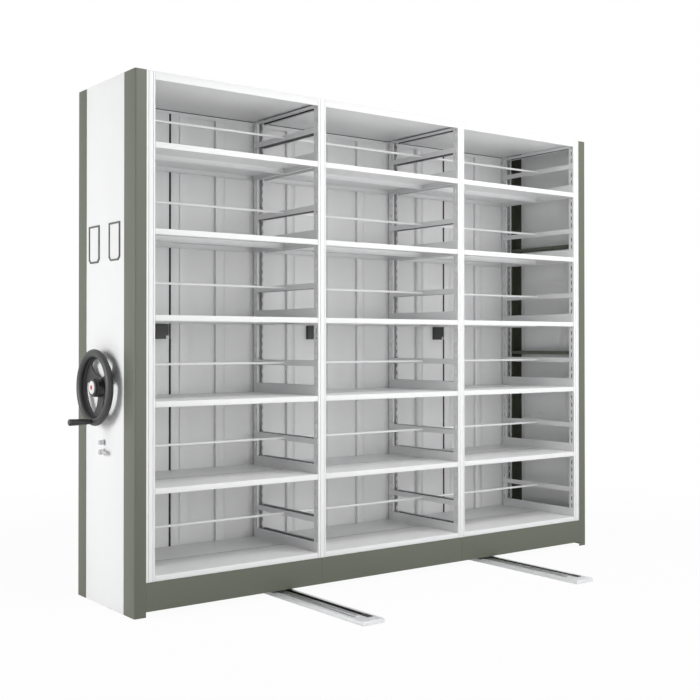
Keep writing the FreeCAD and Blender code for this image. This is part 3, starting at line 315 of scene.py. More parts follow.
# such a copy with its edges rounded takes the solid's place
def softened(name, width, fold=None, shape=None):
    shape = shape or weldedCopy(name)
    sharp = [edge for edge in shape.edges if len(edge.link_faces) == 2
             and edge.calc_face_angle(0) > math.radians(34) and edge.calc_length() > width * 2]
    if fold:  # only the folds of a sheet are rounded, not its cut edges
        narrow = {face for face in shape.faces
                  if face.calc_area() / max(edge.calc_length() for edge in face.edges) < fold}
        sharp = [edge for edge in sharp if edge.is_convex and not narrow.intersection(edge.link_faces)]
    rounded = bevelEdges(shape, sharp, width, 2) if sharp else []
    shadeByShape(shape, [face for face in rounded if face.is_valid])
    slot = slotOfNode[name]
    return addPiece(name + "_dressed", shape, finishes[slot], bodyOfNode[name], [name])


edgeRounding = {"foldRadius": 0.0014, "cutEdge": 0.0022, "castEdge": 0.0012, "smallEdge": 0.0005}
leafMouth = {"return": 0.045, "head": 0.008, "near": 0.0005}


# a door leaf whose returns along its head and foot are narrower than those of its solid
def narrowedLeaf(name):
    low, high = cornersOf(name)
    shape = weldedCopy(name)
    for level, shift in ((high.z - leafMouth["return"], 1), (low.z + leafMouth["return"], -1)):
        edge = [vert for vert in shape.verts if abs(vert.co.z - level) < leafMouth["near"]]
        bmesh.ops.translate(shape, verts=edge, vec=(0, 0, shift * (leafMouth["return"] - leafMouth["head"])))
    softened(name, edgeRounding["foldRadius"], edgeRounding["cutEdge"], shape)


folded = ["trims_left", "trims_right", "end_panel_left", "end_panel_right", "panel_crossbars", "top_panels",
          "plinth_front", "plinth_rear"]
folded += [name for name in nodes if name.startswith("shelves_")]
for name in nodes:
    if name.startswith(("door_left_", "door_right_")):
        narrowedLeaf(name)
for name in folded:
    softened(name, edgeRounding["foldRadius"], edgeRounding["cutEdge"])
for name in [name for name in nodes if name.startswith("lock_case_")] + ["rail_end_stops", "chassis_trucks"]:
    softened(name, edgeRounding["castEdge"])
for name in ["lock_button", "running_bars", "floor_rails", "lock_rosettes"]:
    softened(name, edgeRounding["smallEdge"])
lever = {"root": 0.277, "reach": 0.63}


# the lever's arm ends sooner than its solid does
def lockLever():
    shape = weldedCopy("lock_lever")
    arm = [vert for vert in shape.verts if vert.co.y < lever["root"]]
    bmesh.ops.scale(shape, verts=arm, vec=(1, lever["reach"], 1),
                    space=Matrix.Translation((0, -lever["root"], 0)))
    softened("lock_lever", edgeRounding["smallEdge"], shape=shape)


lockLever()
print("solids softened")


# slotted uprights with a beaded face, a pair on each line and a tie between them
post = {"width": 0.044, "depth": 0.035, "wall": 0.002, "lip": 0.0098, "bend": 0.0022,
        "beadInset": 0.0074, "beadWidth": 0.0076, "beadDepth": 0.0032, "beadSlope": 0.0011,
        "slotHeight": 0.023, "slotWidth": 0.007, "slotPitch": 0.0408, "firstSlot": 0.1948, "topMargin": 0.004,
        "tieHeight": 0.014, "tieTop": 0.0275}
tieShadeStrip = {"wall": 0.0008, "endGap": 0.001, "heightShare": 0.5, "inset": 0.0006, "lift": 0.0015}


# the outline of a front post from lip to lip, seen from above
def postOutline(shape):
    across, deep = post["width"], post["depth"]
    low, high = (deep - post["slotWidth"]) / 2, (deep + post["slotWidth"]) / 2
    points = [(post["lip"], deep), (0, deep), (0, high), (0, low), (0, 0)]
    for start in (post["beadInset"], across - post["beadInset"] - post["beadWidth"]):
        end = start + post["beadWidth"]
        points += [(start, 0), (start + post["beadSlope"], post["beadDepth"]),
                   (end - post["beadSlope"], post["beadDepth"]), (end, 0)]
    points += [(across, 0), (across, low), (across, high), (across, deep), (across - post["lip"], deep)]
    line = [shape.verts.new((x, y, 0)) for x, y in points]
    for pair in zip(line, line[1:]):
        shape.edges.new(pair)
    corners = [vert for vert in line if vert.co.x in (0, across) and vert.co.y in (0, deep)]
    bmesh.ops.bevel(shape, geom=corners, offset=post["bend"], segments=3, profile=0.5, affect="VERTICES",
                    material=-1)
    return shape.edges[:]


# the outline drawn upwards, with its slots left open
def slottedPost(low, high):
    shape = bmesh.new()
    rim = postOutline(shape)
    bmesh.ops.translate(shape, verts=shape.verts, vec=(0, 0, low))
    half = post["slotHeight"] / 2
    centre = post["firstSlot"]
    levels = []
    while centre + half < high - post["topMargin"]:
        levels += [centre - half, centre + half]
        centre += post["slotPitch"]
    at = low
    middle = post["depth"] / 2
    for level in levels + [high]:
        grown = bmesh.ops.extrude_edge_only(shape, edges=rim)["geom"]
        bmesh.ops.translate(shape, verts=[item for item in grown if isinstance(item, bmesh.types.BMVert)],
                            vec=(0, 0, level - at))
        rim = [item for item in grown if isinstance(item, bmesh.types.BMEdge)]
        rim = [edge for edge in rim if abs(edge.verts[0].co.z - edge.verts[1].co.z) < 1e-6]
        at = level
    holes = []
    for face in shape.faces:
        spot = face.calc_center_median()
        step = round((spot.z - post["firstSlot"]) / post["slotPitch"])
        onLevel = step >= 0 and abs(spot.z - post["firstSlot"] - step * post["slotPitch"]) < half
        onSide = min(spot.x, post["width"] - spot.x) < 0.001
        if onLevel and onSide and abs(spot.y - middle) < post["slotWidth"] / 2:
            holes.append(face)
    bmesh.ops.delete(shape, geom=holes, context="FACES_ONLY")
    bmesh.ops.recalc_face_normals(shape, faces=shape.faces)
    front = min(shape.faces, key=lambda face: face.calc_center_median().y)
    if front.normal.y > 0:
        bmesh.ops.reverse_faces(shape, faces=shape.faces)
    return shape


def uprightPair(name):
    low, high = cornersOf(name)
    shape = slottedPost(low.z, high.z)
    bmesh.ops.translate(shape, verts=shape.verts, vec=(low.x, low.y, 0))
    twin = bmesh.ops.duplicate(shape, geom=shape.verts[:] + shape.edges[:] + shape.faces[:])["geom"]
    verts = [item for item in twin if isinstance(item, bmesh.types.BMVert)]
    faces = [item for item in twin if isinstance(item, bmesh.types.BMFace)]
    bmesh.ops.scale(shape, verts=verts, vec=(1, -1, 1))
    bmesh.ops.translate(shape, verts=verts, vec=(0, low.y + high.y, 0))
    bmesh.ops.reverse_faces(shape, faces=faces)
    # the tie is a channel, open underneath
    deep = high.y - low.y - 2 * post["depth"]
    centre = ((low.x + high.x) / 2, (low.y + high.y) / 2, cadHigh.z - post["tieTop"] - post["tieHeight"] / 2)
    tie = addBar(shape, (post["width"], deep, post["tieHeight"]), centre)
    ends = [face for face in {f for vert in tie for f in vert.link_faces}
            if abs(face.normal.y) > 0.9 or face.calc_center_median().z < centre[2] - post["tieHeight"] / 3]
    bmesh.ops.delete(shape, geom=ends, context="FACES_ONLY")
    for face in shape.faces:
        face.smooth = False
    piece = addPiece(name + "_dressed", shape, finishes["white_powder_coat"], "carriage",
                     [name])
    addWall(piece, post["wall"])
    # a dark strip in the channel, painted shade of the channel's inside
    strip = bmesh.new()
    size = (tieShadeStrip["wall"], deep - 2 * tieShadeStrip["endGap"], post["tieHeight"] * tieShadeStrip["heightShare"])
    addBar(strip, size, (high.x - post["wall"] - tieShadeStrip["inset"], centre[1], centre[2] + tieShadeStrip["lift"]))
    addPiece(name + "_tieStrip", strip, finishes["black_rubber"], "carriage")


for name in nodes:
    if name.startswith("uprights_"):
        uprightPair(name)
print("uprights made")


# roller chain round the two sprockets
chain = {"pitch": 0.0127, "smallTeeth": 11, "bigTeeth": 19, "plateHeight": 0.0098, "plateWall": 0.0013,
         "innerHalf": 0.0030, "outerHalf": 0.0045, "rollerRadius": 0.0039, "pinRadius": 0.0018,
         "plateReach": 0.86, "plateRound": 0.42, "pinReach": 1.5, "clearLinks": 2.7}


# one link with its plates along Y, an outer one with pins or an inner one with rollers
def chainLink(shape, half, onTeeth):
    long = chain["pitch"] + chain["plateHeight"] * chain["plateReach"]
    made = []
    for side in (-1, 1):
        plate = addBar(shape, (chain["plateWall"], long, chain["plateHeight"]), (0, 0, 0))
        ends = {edge for vert in plate for edge in vert.link_edges
                if abs(edge.verts[0].co.x - edge.verts[1].co.x) > 1e-5}
        bevelEdges(shape, list(ends), chain["plateHeight"] * chain["plateRound"], 2)
        fresh = [vert for vert in shape.verts if vert not in made]
        bmesh.ops.translate(shape, verts=fresh, vec=(side * (half + chain["plateWall"] / 2), 0, 0))
        made += fresh
    # no roller or pin crosses the plane of the teeth, which turn there while the chain stands
    reach = half + chain["plateWall"] * chain["pinReach"]
    if half > chain["innerHalf"]:
        radius, spans = chain["pinRadius"], [(-reach, reach)]
        if onTeeth:
            spans = [(-reach, -half), (half, reach)]
    else:
        radius, spans = chain["rollerRadius"], [] if onTeeth else [(-half, half)]
    for side in (-1, 1):
        for start, end in spans:
            centre = Matrix.Translation(((start + end) / 2, side * chain["pitch"] / 2, 0))
            bmesh.ops.create_cone(shape, cap_ends=True, segments=10, radius1=radius, radius2=radius,
                                  depth=end - start, matrix=centre @ Matrix.Rotation(math.pi / 2, 4, "Y"))
    return shape


def rollerChain():
    low, high = cornersOf("drive_chain")
    bottom, top = jointPlace["drive_shaft_spin"], jointPlace["handwheel_spin"]
    small = chain["pitch"] / (2 * math.sin(math.pi / chain["smallTeeth"]))
    big = chain["pitch"] / (2 * math.sin(math.pi / chain["bigTeeth"]))
    span = top.z - bottom.z
    lean = math.asin((big - small) / span)
    straight = span * math.cos(lean)
    arcs = [big * (math.pi + 2 * lean), small * (math.pi - 2 * lean)]
    count = round((2 * straight + sum(arcs)) / chain["pitch"] / 2) * 2
    step = (2 * straight + sum(arcs)) / count
    shape = bmesh.new()
    templates = [chainLink(bmesh.new(), half, onTeeth) for onTeeth in (False, True)
                 for half in (chain["innerHalf"], chain["outerHalf"])]
    meshes = []
    for template in templates:
        mesh = bpy.data.meshes.new("link")
        template.to_mesh(mesh)
        template.free()
        meshes.append(mesh)
    clear = chain["clearLinks"] * chain["pitch"]
    rear = straight + arcs[1]  # where the rear run starts
    for index in range(count):
        way = (index + 0.5) * step
        # up the front run, over the small sprocket, down the rear run and round the big one
        if way < straight:
            spot = Vector((0, -big * math.cos(lean) + way * math.sin(lean),
                           big * math.sin(lean) + way * math.cos(lean)))
            tangent = math.pi / 2 - lean
        elif way < rear:
            turn = math.pi - lean - (way - straight) / small
            spot = Vector((0, small * math.cos(turn), span + small * math.sin(turn)))
            tangent = turn - math.pi / 2
        elif way < rear + straight:
            along = way - rear
            spot = Vector((0, small * math.cos(lean) + along * math.sin(lean),
                           span + small * math.sin(lean) - along * math.cos(lean)))
            tangent = -math.pi / 2 + lean
        else:
            turn = lean - (way - rear - straight) / big
            spot = Vector((0, big * math.cos(turn), big * math.sin(turn)))
            tangent = turn - math.pi / 2
        before = len(shape.verts)
        onTeeth = not (clear < way < straight - clear or rear + clear < way < rear + straight - clear)
        shape.from_mesh(meshes[index % 2 + 2 * onTeeth])
        shape.verts.ensure_lookup_table()
        place = Matrix.Translation(Vector(((low.x + high.x) / 2, bottom.y, bottom.z)) + spot)
        bmesh.ops.transform(shape, matrix=place @ Matrix.Rotation(tangent, 4, "X"),
                            verts=shape.verts[before:])
    for mesh in meshes:
        bpy.data.meshes.remove(mesh)
    shadeByShape(shape, limit=40)
    addPiece("rollerChain", shape, finishes["chain_steel"], "carriage", ["drive_chain"])


rollerChain()
print("chain made")


# moulded handwheel: oval rim, dished web with three windows, a hub, and the spot on its cap
wheel = {"rimRadius": 0.150, "rimHeight": 0.0175, "rimWidth": 0.015, "rimBack": -0.0336, "rimSteps": 112,
         "webRim": -0.031, "webRimRadius": 0.132, "webHub": -0.017, "webHubRadius": 0.0415, "webWall": 0.008,
         "windowOffset": 0.124, "windowRadius": 0.081, "windowReach": 0.124, "cornerReach": 0.0093,
         "windowEdge": 0.0016, "tipClear": 0.012, "windowMiddle": 0.68, "webTuck": 0.003, "webMesh": 0.011,
         "spotRadius": 0.0105, "spotWall": 0.0003}
# half sections of (x, radius) points: the hub, and the round joint between web and rim
hubProfile = [(-0.008, 0.0105), (-0.008, 0.0395), (-0.0095, 0.0415), (-0.0465, 0.0415), (-0.0480, 0.0402),
              (-0.0488, 0.0390), (-0.0575, 0.0390), (-0.0592, 0.0382), (-0.0600, 0.0362), (-0.0600, 0.0305),
              (-0.0590, 0.0292), (-0.0520, 0.0240), (-0.0520, 0.0102)]
jointProfile = [(-0.0308, 0.1310), (-0.0340, 0.1330), (-0.0426, 0.1380), (-0.0370, 0.1510), (-0.0268, 0.1462),
                (-0.0230, 0.1390), (-0.0228, 0.1310)]


def circleAcross(shape, segments, radius, height=0.0):
    ring = bmesh.ops.create_circle(shape, segments=segments, radius=radius)["verts"]
    bmesh.ops.rotate(shape, verts=ring, cent=(0, 0, 0), matrix=Matrix.Rotation(math.pi / 2, 3, "Y"))
    bmesh.ops.translate(shape, verts=ring, vec=(0, 0, height))
    return ring


# one window: where a disc and the web's outer circle overlap, with both corners rounded
def windowOutline(turn):
    shape = bmesh.new()
    reach, radius, offset = wheel["windowReach"], wheel["windowRadius"], wheel["windowOffset"]
    corner = math.acos((reach * reach + offset * offset - radius * radius) / (2 * reach * offset))
    tips = [Vector((0, side * reach * math.sin(corner), reach * math.cos(corner))) for side in (-1, 1)]
    disc = circleAcross(shape, 72, radius, offset)
    outer = circleAcross(shape, 120, reach)
    centre = Vector((0, 0, offset))
    rest = [vert for vert in disc if vert.co.length > reach]
    rest += [vert for vert in outer if (vert.co - centre).length > radius]
    rest += [vert for vert in disc + outer if vert not in rest
             and min((vert.co - tip).length for tip in tips) < wheel["tipClear"]]
    bmesh.ops.delete(shape, geom=rest, context="VERTS")
    corners = [shape.verts.new(tip) for tip in tips]
    middle = Vector((0, 0, offset * wheel["windowMiddle"]))
    ring = sorted(shape.verts, key=lambda vert: math.atan2(vert.co.y - middle.y, vert.co.z - middle.z))
    for first, second in zip(ring, ring[1:] + ring[:1]):
        if not shape.edges.get((first, second)):
            shape.edges.new((first, second))
    bmesh.ops.bevel(shape, geom=corners, offset=wheel["cornerReach"], offset_type="OFFSET", segments=7,
                    profile=0.5, affect="VERTICES", material=-1)
    bmesh.ops.rotate(shape, verts=shape.verts, cent=(0, 0, 0), matrix=Matrix.Rotation(turn, 3, "X"))
    return shape


# the dished web between the hub and the rim, as open faces
def webSheet():
    shape = bmesh.new()
    for index in range(3):
        window = windowOutline(index * 2 * math.pi / 3)
        mesh = bpy.data.meshes.new("window")
        window.to_mesh(mesh)
        window.free()
        shape.from_mesh(mesh)
        bpy.data.meshes.remove(mesh)
    circleAcross(shape, 112, wheel["webRimRadius"])
    circleAcross(shape, 64, wheel["webHubRadius"] - wheel["webTuck"])
    bmesh.ops.triangle_fill(shape, use_beauty=True, use_dissolve=False, edges=shape.edges, normal=(-1, 0, 0))
    for _ in range(2):
        long = [edge for edge in shape.edges
                if edge.calc_length() > wheel["webMesh"] and not edge.is_boundary]
        bmesh.ops.subdivide_edges(shape, edges=long, cuts=1)
        bmesh.ops.triangulate(shape, faces=shape.faces)
    slope = (wheel["webRim"] - wheel["webHub"]) / (wheel["webRimRadius"] - wheel["webHubRadius"])
    for vert in shape.verts:
        vert.co.x = wheel["webHub"] + (vert.co.length - wheel["webHubRadius"]) * slope
    shape.normal_update()
    if sum(face.normal.x * face.calc_area() for face in shape.faces) > 0:
        bmesh.ops.reverse_faces(shape, faces=shape.faces)
    for face in shape.faces:
        face.smooth = True
    return shape


# a half section of (x, radius) points spun about the X axis
def turned(profile, steps, closed=False):
    shape = bmesh.new()
    line = [shape.verts.new((x, 0, radius)) for x, radius in profile]
    for pair in zip(line, line[1:] + line[:1] if closed else line[1:]):
        shape.edges.new(pair)
    bmesh.ops.spin(shape, geom=shape.verts[:] + shape.edges[:], cent=(0, 0, 0), axis=(1, 0, 0),
                   dvec=(0, 0, 0), angle=2 * math.pi, steps=steps, use_merge=True)
    bmesh.ops.remove_doubles(shape, verts=shape.verts, dist=0.000005)
    bmesh.ops.recalc_face_normals(shape, faces=shape.faces)
    shadeByShape(shape, limit=40)
    return shape


def wheelPiece(name, shape, centre, stands=()):
    bmesh.ops.translate(shape, verts=shape.verts, vec=centre)
    return addPiece(name, shape, finishes["charcoal_plastic"], "hand_wheel", stands)


def handwheelPieces():
    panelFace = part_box("end_panel_left")[0][0]
    centre = Vector((panelFace, jointPlace["handwheel_spin"].y, jointPlace["handwheel_spin"].z))
    turns = [2 * math.pi * index / 28 for index in range(28)]
    ring = [(wheel["rimBack"] - wheel["rimWidth"] * (1 + math.cos(turn)),
             wheel["rimRadius"] + wheel["rimHeight"] * math.sin(turn)) for turn in turns]
    wheelPiece("wheelRim", turned(ring, wheel["rimSteps"], closed=True), centre, ["handwheel"])
    wheelPiece("wheelHub", turned(hubProfile, 72), centre)
    wheelPiece("wheelJoint", turned(jointProfile, wheel["rimSteps"], closed=True), centre)
    plate = wheelPiece("wheelWeb", webSheet(), centre)
    addWall(plate, wheel["webWall"])
    edge = plate.modifiers.new("edge", "BEVEL")
    edge.limit_method = "ANGLE"
    edge.angle_limit = math.radians(50)
    edge.width = wheel["windowEdge"]
    edge.segments = 3
    # a red spot in the middle of the cap
    face = Matrix.Translation((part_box("wheel_cap")[0][0], centre.y, centre.z))
    radius = wheel["spotRadius"]
    spot = bmesh.new()
    bmesh.ops.create_cone(spot, cap_ends=True, segments=40, radius1=radius, radius2=radius,
                          depth=wheel["spotWall"], matrix=face @ Matrix.Rotation(math.pi / 2, 4, "Y"))
    addPiece("capSpot", spot, extras["redDot"], "hand_wheel")


handwheelPieces()
print("handwheel made")


# label holders stand a little prouder than their solids, with blank cards in them
label = {"proud": 0.0022, "across": 0.107, "border": 0.0075, "wall": 0.0006, "back": 0.0004, "corner": 0.011}


def labelHolders():
    low, high = cornersOf("label_holders")
    frames = weldedCopy("label_holders")
    front = [vert for vert in frames.verts if vert.co.x < (low.x + high.x) / 2]
    bmesh.ops.translate(frames, verts=front, vec=(-label["proud"], 0, 0))
    softened("label_holders", edgeRounding["smallEdge"], shape=frames)
    shape = bmesh.new()
    middleZ = (low.z + high.z) / 2
    size = (label["wall"], label["across"] - 2 * label["border"], high.z - low.z - 2 * label["border"])
    x = high.x - label["back"] - label["wall"] / 2
    for y0 in (low.y, high.y - label["across"]):
        verts = addBar(shape, size, (x, y0 + label["across"] / 2, middleZ))
        bottom = {edge for vert in verts for edge in vert.link_edges
                  if abs(edge.verts[0].co.x - edge.verts[1].co.x) > 0.0002 and edge.verts[0].co.z < middleZ}
        bevelEdges(shape, list(bottom), label["corner"], 1)
    addPiece("labelCards", shape, extras["card"], "carriage")


labelHolders()
print("label holders made")


# the wide groove of each floor rail has a dark lining on its floor and far side, painted shade in the groove
groove = {"width": 0.0310, "stopGap": 0.0003, "skin": 0.0004, "depth": 0.0104, "endGap": 0.0015}


def grooveShadeLining():
    stopLow, stopHigh = cornersOf("rail_end_stops")
    barLow, barHigh = cornersOf("running_bars")
    width, skin, depth = groove["width"], groove["skin"], groove["depth"]
    long = barHigh.y - barLow.y - 2 * groove["endGap"]
    shape = bmesh.new()
    for wall in (stopLow.x - groove["stopGap"] + width, stopHigh.x + groove["stopGap"]):
        addBar(shape, (width, long, skin), (wall - width / 2, 0, stopLow.z + skin / 2))
        addBar(shape, (skin, long, depth), (wall - skin / 2, 0, stopLow.z + depth / 2))
    addPiece("grooveShadeLining", shape, finishes["black_plastic"], bodyOfNode["floor_rails"])


grooveShadeLining()
# the dark groove lining is painted shade
print("groove grease laid")


# rubber seals reach a little over the left leaves' edges
seal = {"overlap": 0.0014, "proud": 0.0012, "gap": 0.0012, "clear": 0.0001, "rounding": 0.4}


def leafSeals():
    for bay in (1, 2, 3):
        name = "door_seal_%d" % bay
        low, high = cornersOf(name)
        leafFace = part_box("door_left_%d" % bay)[0][1]
        low.x -= seal["overlap"]
        high.x += seal["gap"]
        low.y, high.y = leafFace - seal["proud"], leafFace - seal["clear"]
        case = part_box("lock_case_%d" % bay)
        shape = bmesh.new()
        # the tongue turns through between the two
        for start, end in ((low.z, case[0][2]), (case[1][2], high.z)):
            addBar(shape, (high.x - low.x, high.y - low.y, end - start),
                   ((low.x + high.x) / 2, (low.y + high.y) / 2, (start + end) / 2))
        upright = [edge for edge in shape.edges if abs(edge.verts[0].co.z - edge.verts[1].co.z) > 0.1]
        shadeByShape(shape, bevelEdges(shape, upright, seal["proud"] * seal["rounding"], 2))
        addPiece("sealLip_%d" % bay, shape, finishes["black_rubber"], bodyOfNode[name])


leafSeals()
print("seals made")


# inner sheets close each leaf beside its stiffener, a slit away from it
leafSheet = {"wall": 0.0006, "back": 0.0004, "endGap": 0.003, "slit": 0.0030, "hatSlit": 0.0009,
             "hatEnd": 0.234, "stileStart": 0.280, "hatStart": 0.190, "returnWidth": 0.045, "bandEnd": 0.095}


def leafSheets():
    for bay in (1, 2, 3):
        for side in ("left", "right"):
            name = "door_%s_%d" % (side, bay)
            low, high = cornersOf(name)
            if side == "left":
                hat = low.x + leafSheet["hatEnd"]
                spans = [(hat + leafSheet["hatSlit"], low.x + leafSheet["stileStart"])]
            else:
                hat = high.x - leafSheet["hatStart"]
                spans = [(hat + leafSheet["hatSlit"], high.x - leafSheet["returnWidth"]),
                         (low.x + leafSheet["returnWidth"] + leafSheet["slit"], low.x + leafSheet["bandEnd"])]
            shape = bmesh.new()
            for start, end in spans:
                corner = Vector((start, low.y + leafSheet["back"], low.z + leafSheet["endGap"]))
                size = Vector((end - start, leafSheet["wall"], high.z - low.z - 2 * leafSheet["endGap"]))
                addBar(shape, size, corner + size / 2)
            addPiece("leafSheet_%s_%d" % (side, bay), shape, finishes["white_powder_coat"], bodyOfNode[name])


leafSheets()
print("door leaves closed")


# flat liners under the top panels, one to a bay
liner = {"drop": 0.0235, "wall": 0.0008, "sideGap": 0.004, "front": 0.0045, "rear": 0.0005}


def ceilingLiners():
    shape = bmesh.new()
    for bay in (1, 2, 3):
        left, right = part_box("uprights_%d" % bay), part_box("uprights_%d" % (bay + 1))
        low = Vector((left[1][0] + liner["sideGap"], left[0][1] + liner["front"], cadHigh.z - liner["drop"]))
        high = Vector((right[0][0] - liner["sideGap"], left[1][1] - liner["rear"], low.z + liner["wall"]))
        addBar(shape, high - low, (low + high) / 2)
    addPiece("ceilingLiners", shape, finishes["white_powder_coat"], "carriage")


ceilingLiners()
print("liners made")


# the box of each separate solid in a node
def islandBoxes(name):
    solid = weldedCopy(name)
    loose = set(solid.verts)
    boxes = []
    while loose:
        bar, grown = set(), {loose.pop()}
        while grown:
            bar |= grown
            grown = {edge.other_vert(vert) for vert in grown for edge in vert.link_edges} - bar
        loose -= bar
        boxes.append([Vector(pick(vert.co[axis] for vert in bar) for axis in range(3))
                      for pick in (min, max)])
    solid.free()
    return sorted(boxes, key=lambda box: box[0][:])


# stop rods are rounded square bars
rod = {"side": 0.0108, "corner": 0.0024}


def stopRods():
    shape = bmesh.new()
    for low, high in islandBoxes("stop_rods"):
        addBar(shape, (high.x - low.x, rod["side"], rod["side"]), (low + high) / 2)
    long = [edge for edge in shape.edges if edge.calc_length() > rod["side"] * 2]
    shadeByShape(shape, bevelEdges(shape, long, rod["corner"], 3))
    addPiece("stopRods", shape, extras["rodCoat"], bodyOfNode["stop_rods"],
             ["stop_rods"])


stopRods()
print("stop rods made")


# painted shade: dark strips fill the gaps between the brackets and rails on the two sides of an upright pair;
# dark strips also lie in the joint between the front and rear boards
shadeAndJointStrip = {"wall": 0.0008, "depth": 0.0046, "lowDepth": 0.0064, "endGap": 0.038, "joint": 0.0022,
          "proud": 0.0003, "upstand": 0.047, "sideGap": 0.004, "minLength": 0.3, "reach": 0.012}


def shadeAndJointStrips():
    shadeFills, joints = bmesh.new(), bmesh.new()
    rails = [(box, False) for box in islandBoxes("rod_rails")]
    for bay in (1, 2, 3):
        left, right = cornersOf("uprights_%d" % (bay + 1))
        boards = cornersOf("shelves_bay_%d" % bay)
        brackets = [(box, True) for box in islandBoxes("shelf_brackets_bay_%d" % bay)]
        for (low, high), isBracket in brackets + rails:
            if high.y - low.y < shadeAndJointStrip["minLength"] or abs(high.x - left.x) > shadeAndJointStrip["reach"]:
                continue
            levels = [high.z - shadeAndJointStrip["depth"]]
            if isBracket:
                across = boards[1].x - boards[0].x - shadeAndJointStrip["sideGap"]
                addBar(joints, (across, shadeAndJointStrip["joint"], shadeAndJointStrip["proud"]),
                       ((boards[0].x + boards[1].x) / 2, (low.y + high.y) / 2,
                        high.z - shadeAndJointStrip["upstand"] + shadeAndJointStrip["proud"] / 2))
            else:
                levels.append(low.z + shadeAndJointStrip["lowDepth"])
            if bay == 3:  # the last pair has a bay on one side only
                continue
            for level in levels:
                addBar(shadeFills, (right.x - left.x, right.y - left.y - 2 * shadeAndJointStrip["endGap"], shadeAndJointStrip["wall"]),
                       ((left.x + right.x) / 2, (left.y + right.y) / 2, level))
    addPiece("gapShadeStrips", shadeFills, finishes["dark_chassis_paint"], "carriage")
    addPiece("boardJoints", joints, finishes["dark_chassis_paint"], "carriage")


shadeAndJointStrips()
print("filler strips made")


# a strip behind the top panels closes the gap over the doors, with a dark strip under the liners that is
# painted shade of the seam
headStrip = {"wall": 0.001, "low": 0.0395, "high": 0.010, "back": 0.0011, "inset": 0.002, "seam": 0.0032,
             "seamWall": 0.0006}


def doorHeadStrip():
    left, right = cornersOf("uprights_1")[0], cornersOf("uprights_4")[1]
    long = right.x - left.x - 2 * headStrip["inset"]
    tall = headStrip["low"] - headStrip["high"]
    middle = Vector(((left.x + right.x) / 2, right.y + headStrip["back"] - headStrip["wall"] / 2,
                     cadHigh.z - headStrip["high"] - tall / 2))
    shape = bmesh.new()
    addBar(shape, (long, headStrip["wall"], tall), middle)
    addPiece("doorHeadStrip", shape, finishes["white_powder_coat"], "carriage")
    seam = bmesh.new()
    addBar(seam, (long, headStrip["seamWall"], headStrip["seam"]),
           (middle.x, middle.y - headStrip["wall"] / 2 - headStrip["seamWall"] / 2,
            cadHigh.z - liner["drop"] - headStrip["seam"] / 2))
    addPiece("headSeamShade", seam, finishes["black_rubber"], "carriage")


doorHeadStrip()
print("head strip made")


# a pale floor that the camera sees white, but for a soft shadow near the object
stage = {"floorTone": 0.90, "floorSize": 80.0, "nearShare": 0.955, "fadeFrom": 2.1, "fadeTo": 4.25,
         "fadeLength": 5.0, "skyTone": 1.0, "worldLight": 0.10}
shownTo = ["Is Camera Ray", "Is Glossy Ray", "Is Transmission Ray"]


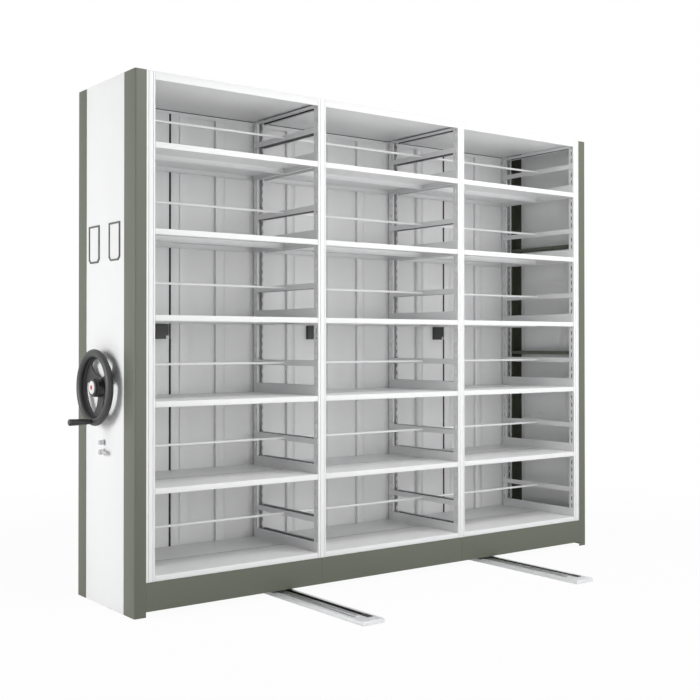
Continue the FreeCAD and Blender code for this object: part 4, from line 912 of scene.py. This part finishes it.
def paleFloor():
    bpy.ops.mesh.primitive_plane_add(size=stage["floorSize"], location=(0, 0, 0))
    floor = bpy.context.object
    floor.name = "floor"
    paint = Shader("floorPaint")
    paint.set(Base_Color=(stage["floorTone"],) * 3, Roughness=0.8, Specular_IOR_Level=0.2)
    seen = sum(paint.add("ShaderNodeLightPath", {}, {}, kind) for kind in shownTo)
    reach = paint.add("ShaderNodeVectorMath", {"operation": "LENGTH"}, {0: paint.place}, "Value")
    near, far = stage["fadeFrom"] / stage["fadeLength"], stage["fadeTo"] / stage["fadeLength"]
    share = paint.ramp(reach * (1 / stage["fadeLength"]), [(near, stage["nearShare"]), (far, 1.0)])
    white = paint.add("ShaderNodeEmission", {}, {"Color": (1, 1, 1), "Strength": 1.0})
    lit = Socket(paint, paint.main.outputs[0])
    shown = paint.add("ShaderNodeMixShader", {}, {0: seen * share, 1: lit, 2: white})
    paint.feed(paint.tree.nodes["Material Output"].inputs["Surface"], shown)
    floor.data.materials.append(paint.material)
    floor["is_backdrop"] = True


lamps = {
    "leftLamp": {"power": 122, "place": (-5.2, 1.1, 1.7), "aim": (-1.34, 0.2, 1.1), "size": (2.2, 2.2)},
    "frontLamp": {"power": 157, "place": (1.4, -6.0, 2.1), "aim": (0.2, 0, 1.2), "size": (6, 3.4)},
    "floorLamp": {"power": 70, "place": (2.0, -3.6, 0.02), "aim": (2.0, -3.599, 3.0), "size": (7, 4.6)},
    "topLamp": {"power": 165, "place": (1.0, -3.0, 5.5), "aim": (0.2, 0, 1.2), "size": (5, 2)},
    "backLamp": {"power": 60, "place": (1.5, 6.0, 3.5), "aim": (0, 0, 1.2), "size": (5, 3)},
}


def lamp(name, power, place, aim, size):
    data = bpy.data.lights.new(name, "AREA")
    data.energy = power
    data.shape = "RECTANGLE"
    data.size, data.size_y = size
    holder = bpy.data.objects.new(name, data)
    bpy.context.scene.collection.objects.link(holder)
    holder.location = place
    holder.visible_camera = False
    holder.rotation_euler = (Vector(aim) - Vector(place)).to_track_quat("-Z", "Y").to_euler()


def studio():
    world = bpy.data.worlds.new("studio")
    bpy.context.scene.world = world
    sky = Shader("studio", world)
    seen = sum(sky.add("ShaderNodeLightPath", {}, {}, kind) for kind in shownTo)
    soft = sky.add("ShaderNodeBackground", {}, {"Color": (1, 1, 1), "Strength": stage["worldLight"]})
    white = sky.add("ShaderNodeBackground", {}, {"Color": (1, 1, 1), "Strength": stage["skyTone"]})
    shown = sky.add("ShaderNodeMixShader", {}, {0: seen, 1: soft, 2: white})
    sky.feed(sky.tree.nodes["World Output"].inputs["Surface"], shown)
    for name, settings in lamps.items():
        lamp(name, **settings)


view = {"place": (-3.4060, -4.0967, 1.1546), "turn": 36.254, "tilt": 0.48, "lens": 55.80, "sensor": 36,
        "shift": (0.0482, -0.0222)}


def mainCamera():
    eye = bpy.data.cameras.new("camera")
    eye.lens = view["lens"]
    eye.sensor_width = view["sensor"]
    eye.shift_x, eye.shift_y = view["shift"]
    holder = bpy.data.objects.new("camera", eye)
    bpy.context.scene.collection.objects.link(holder)
    holder.location = view["place"]
    holder.rotation_euler = (math.radians(90 + view["tilt"]), 0, math.radians(-view["turn"]))
    bpy.context.scene.camera = holder


paleFloor()
studio()
mainCamera()
bpy.context.scene.view_settings.view_transform = "Standard"
print("stage lit")
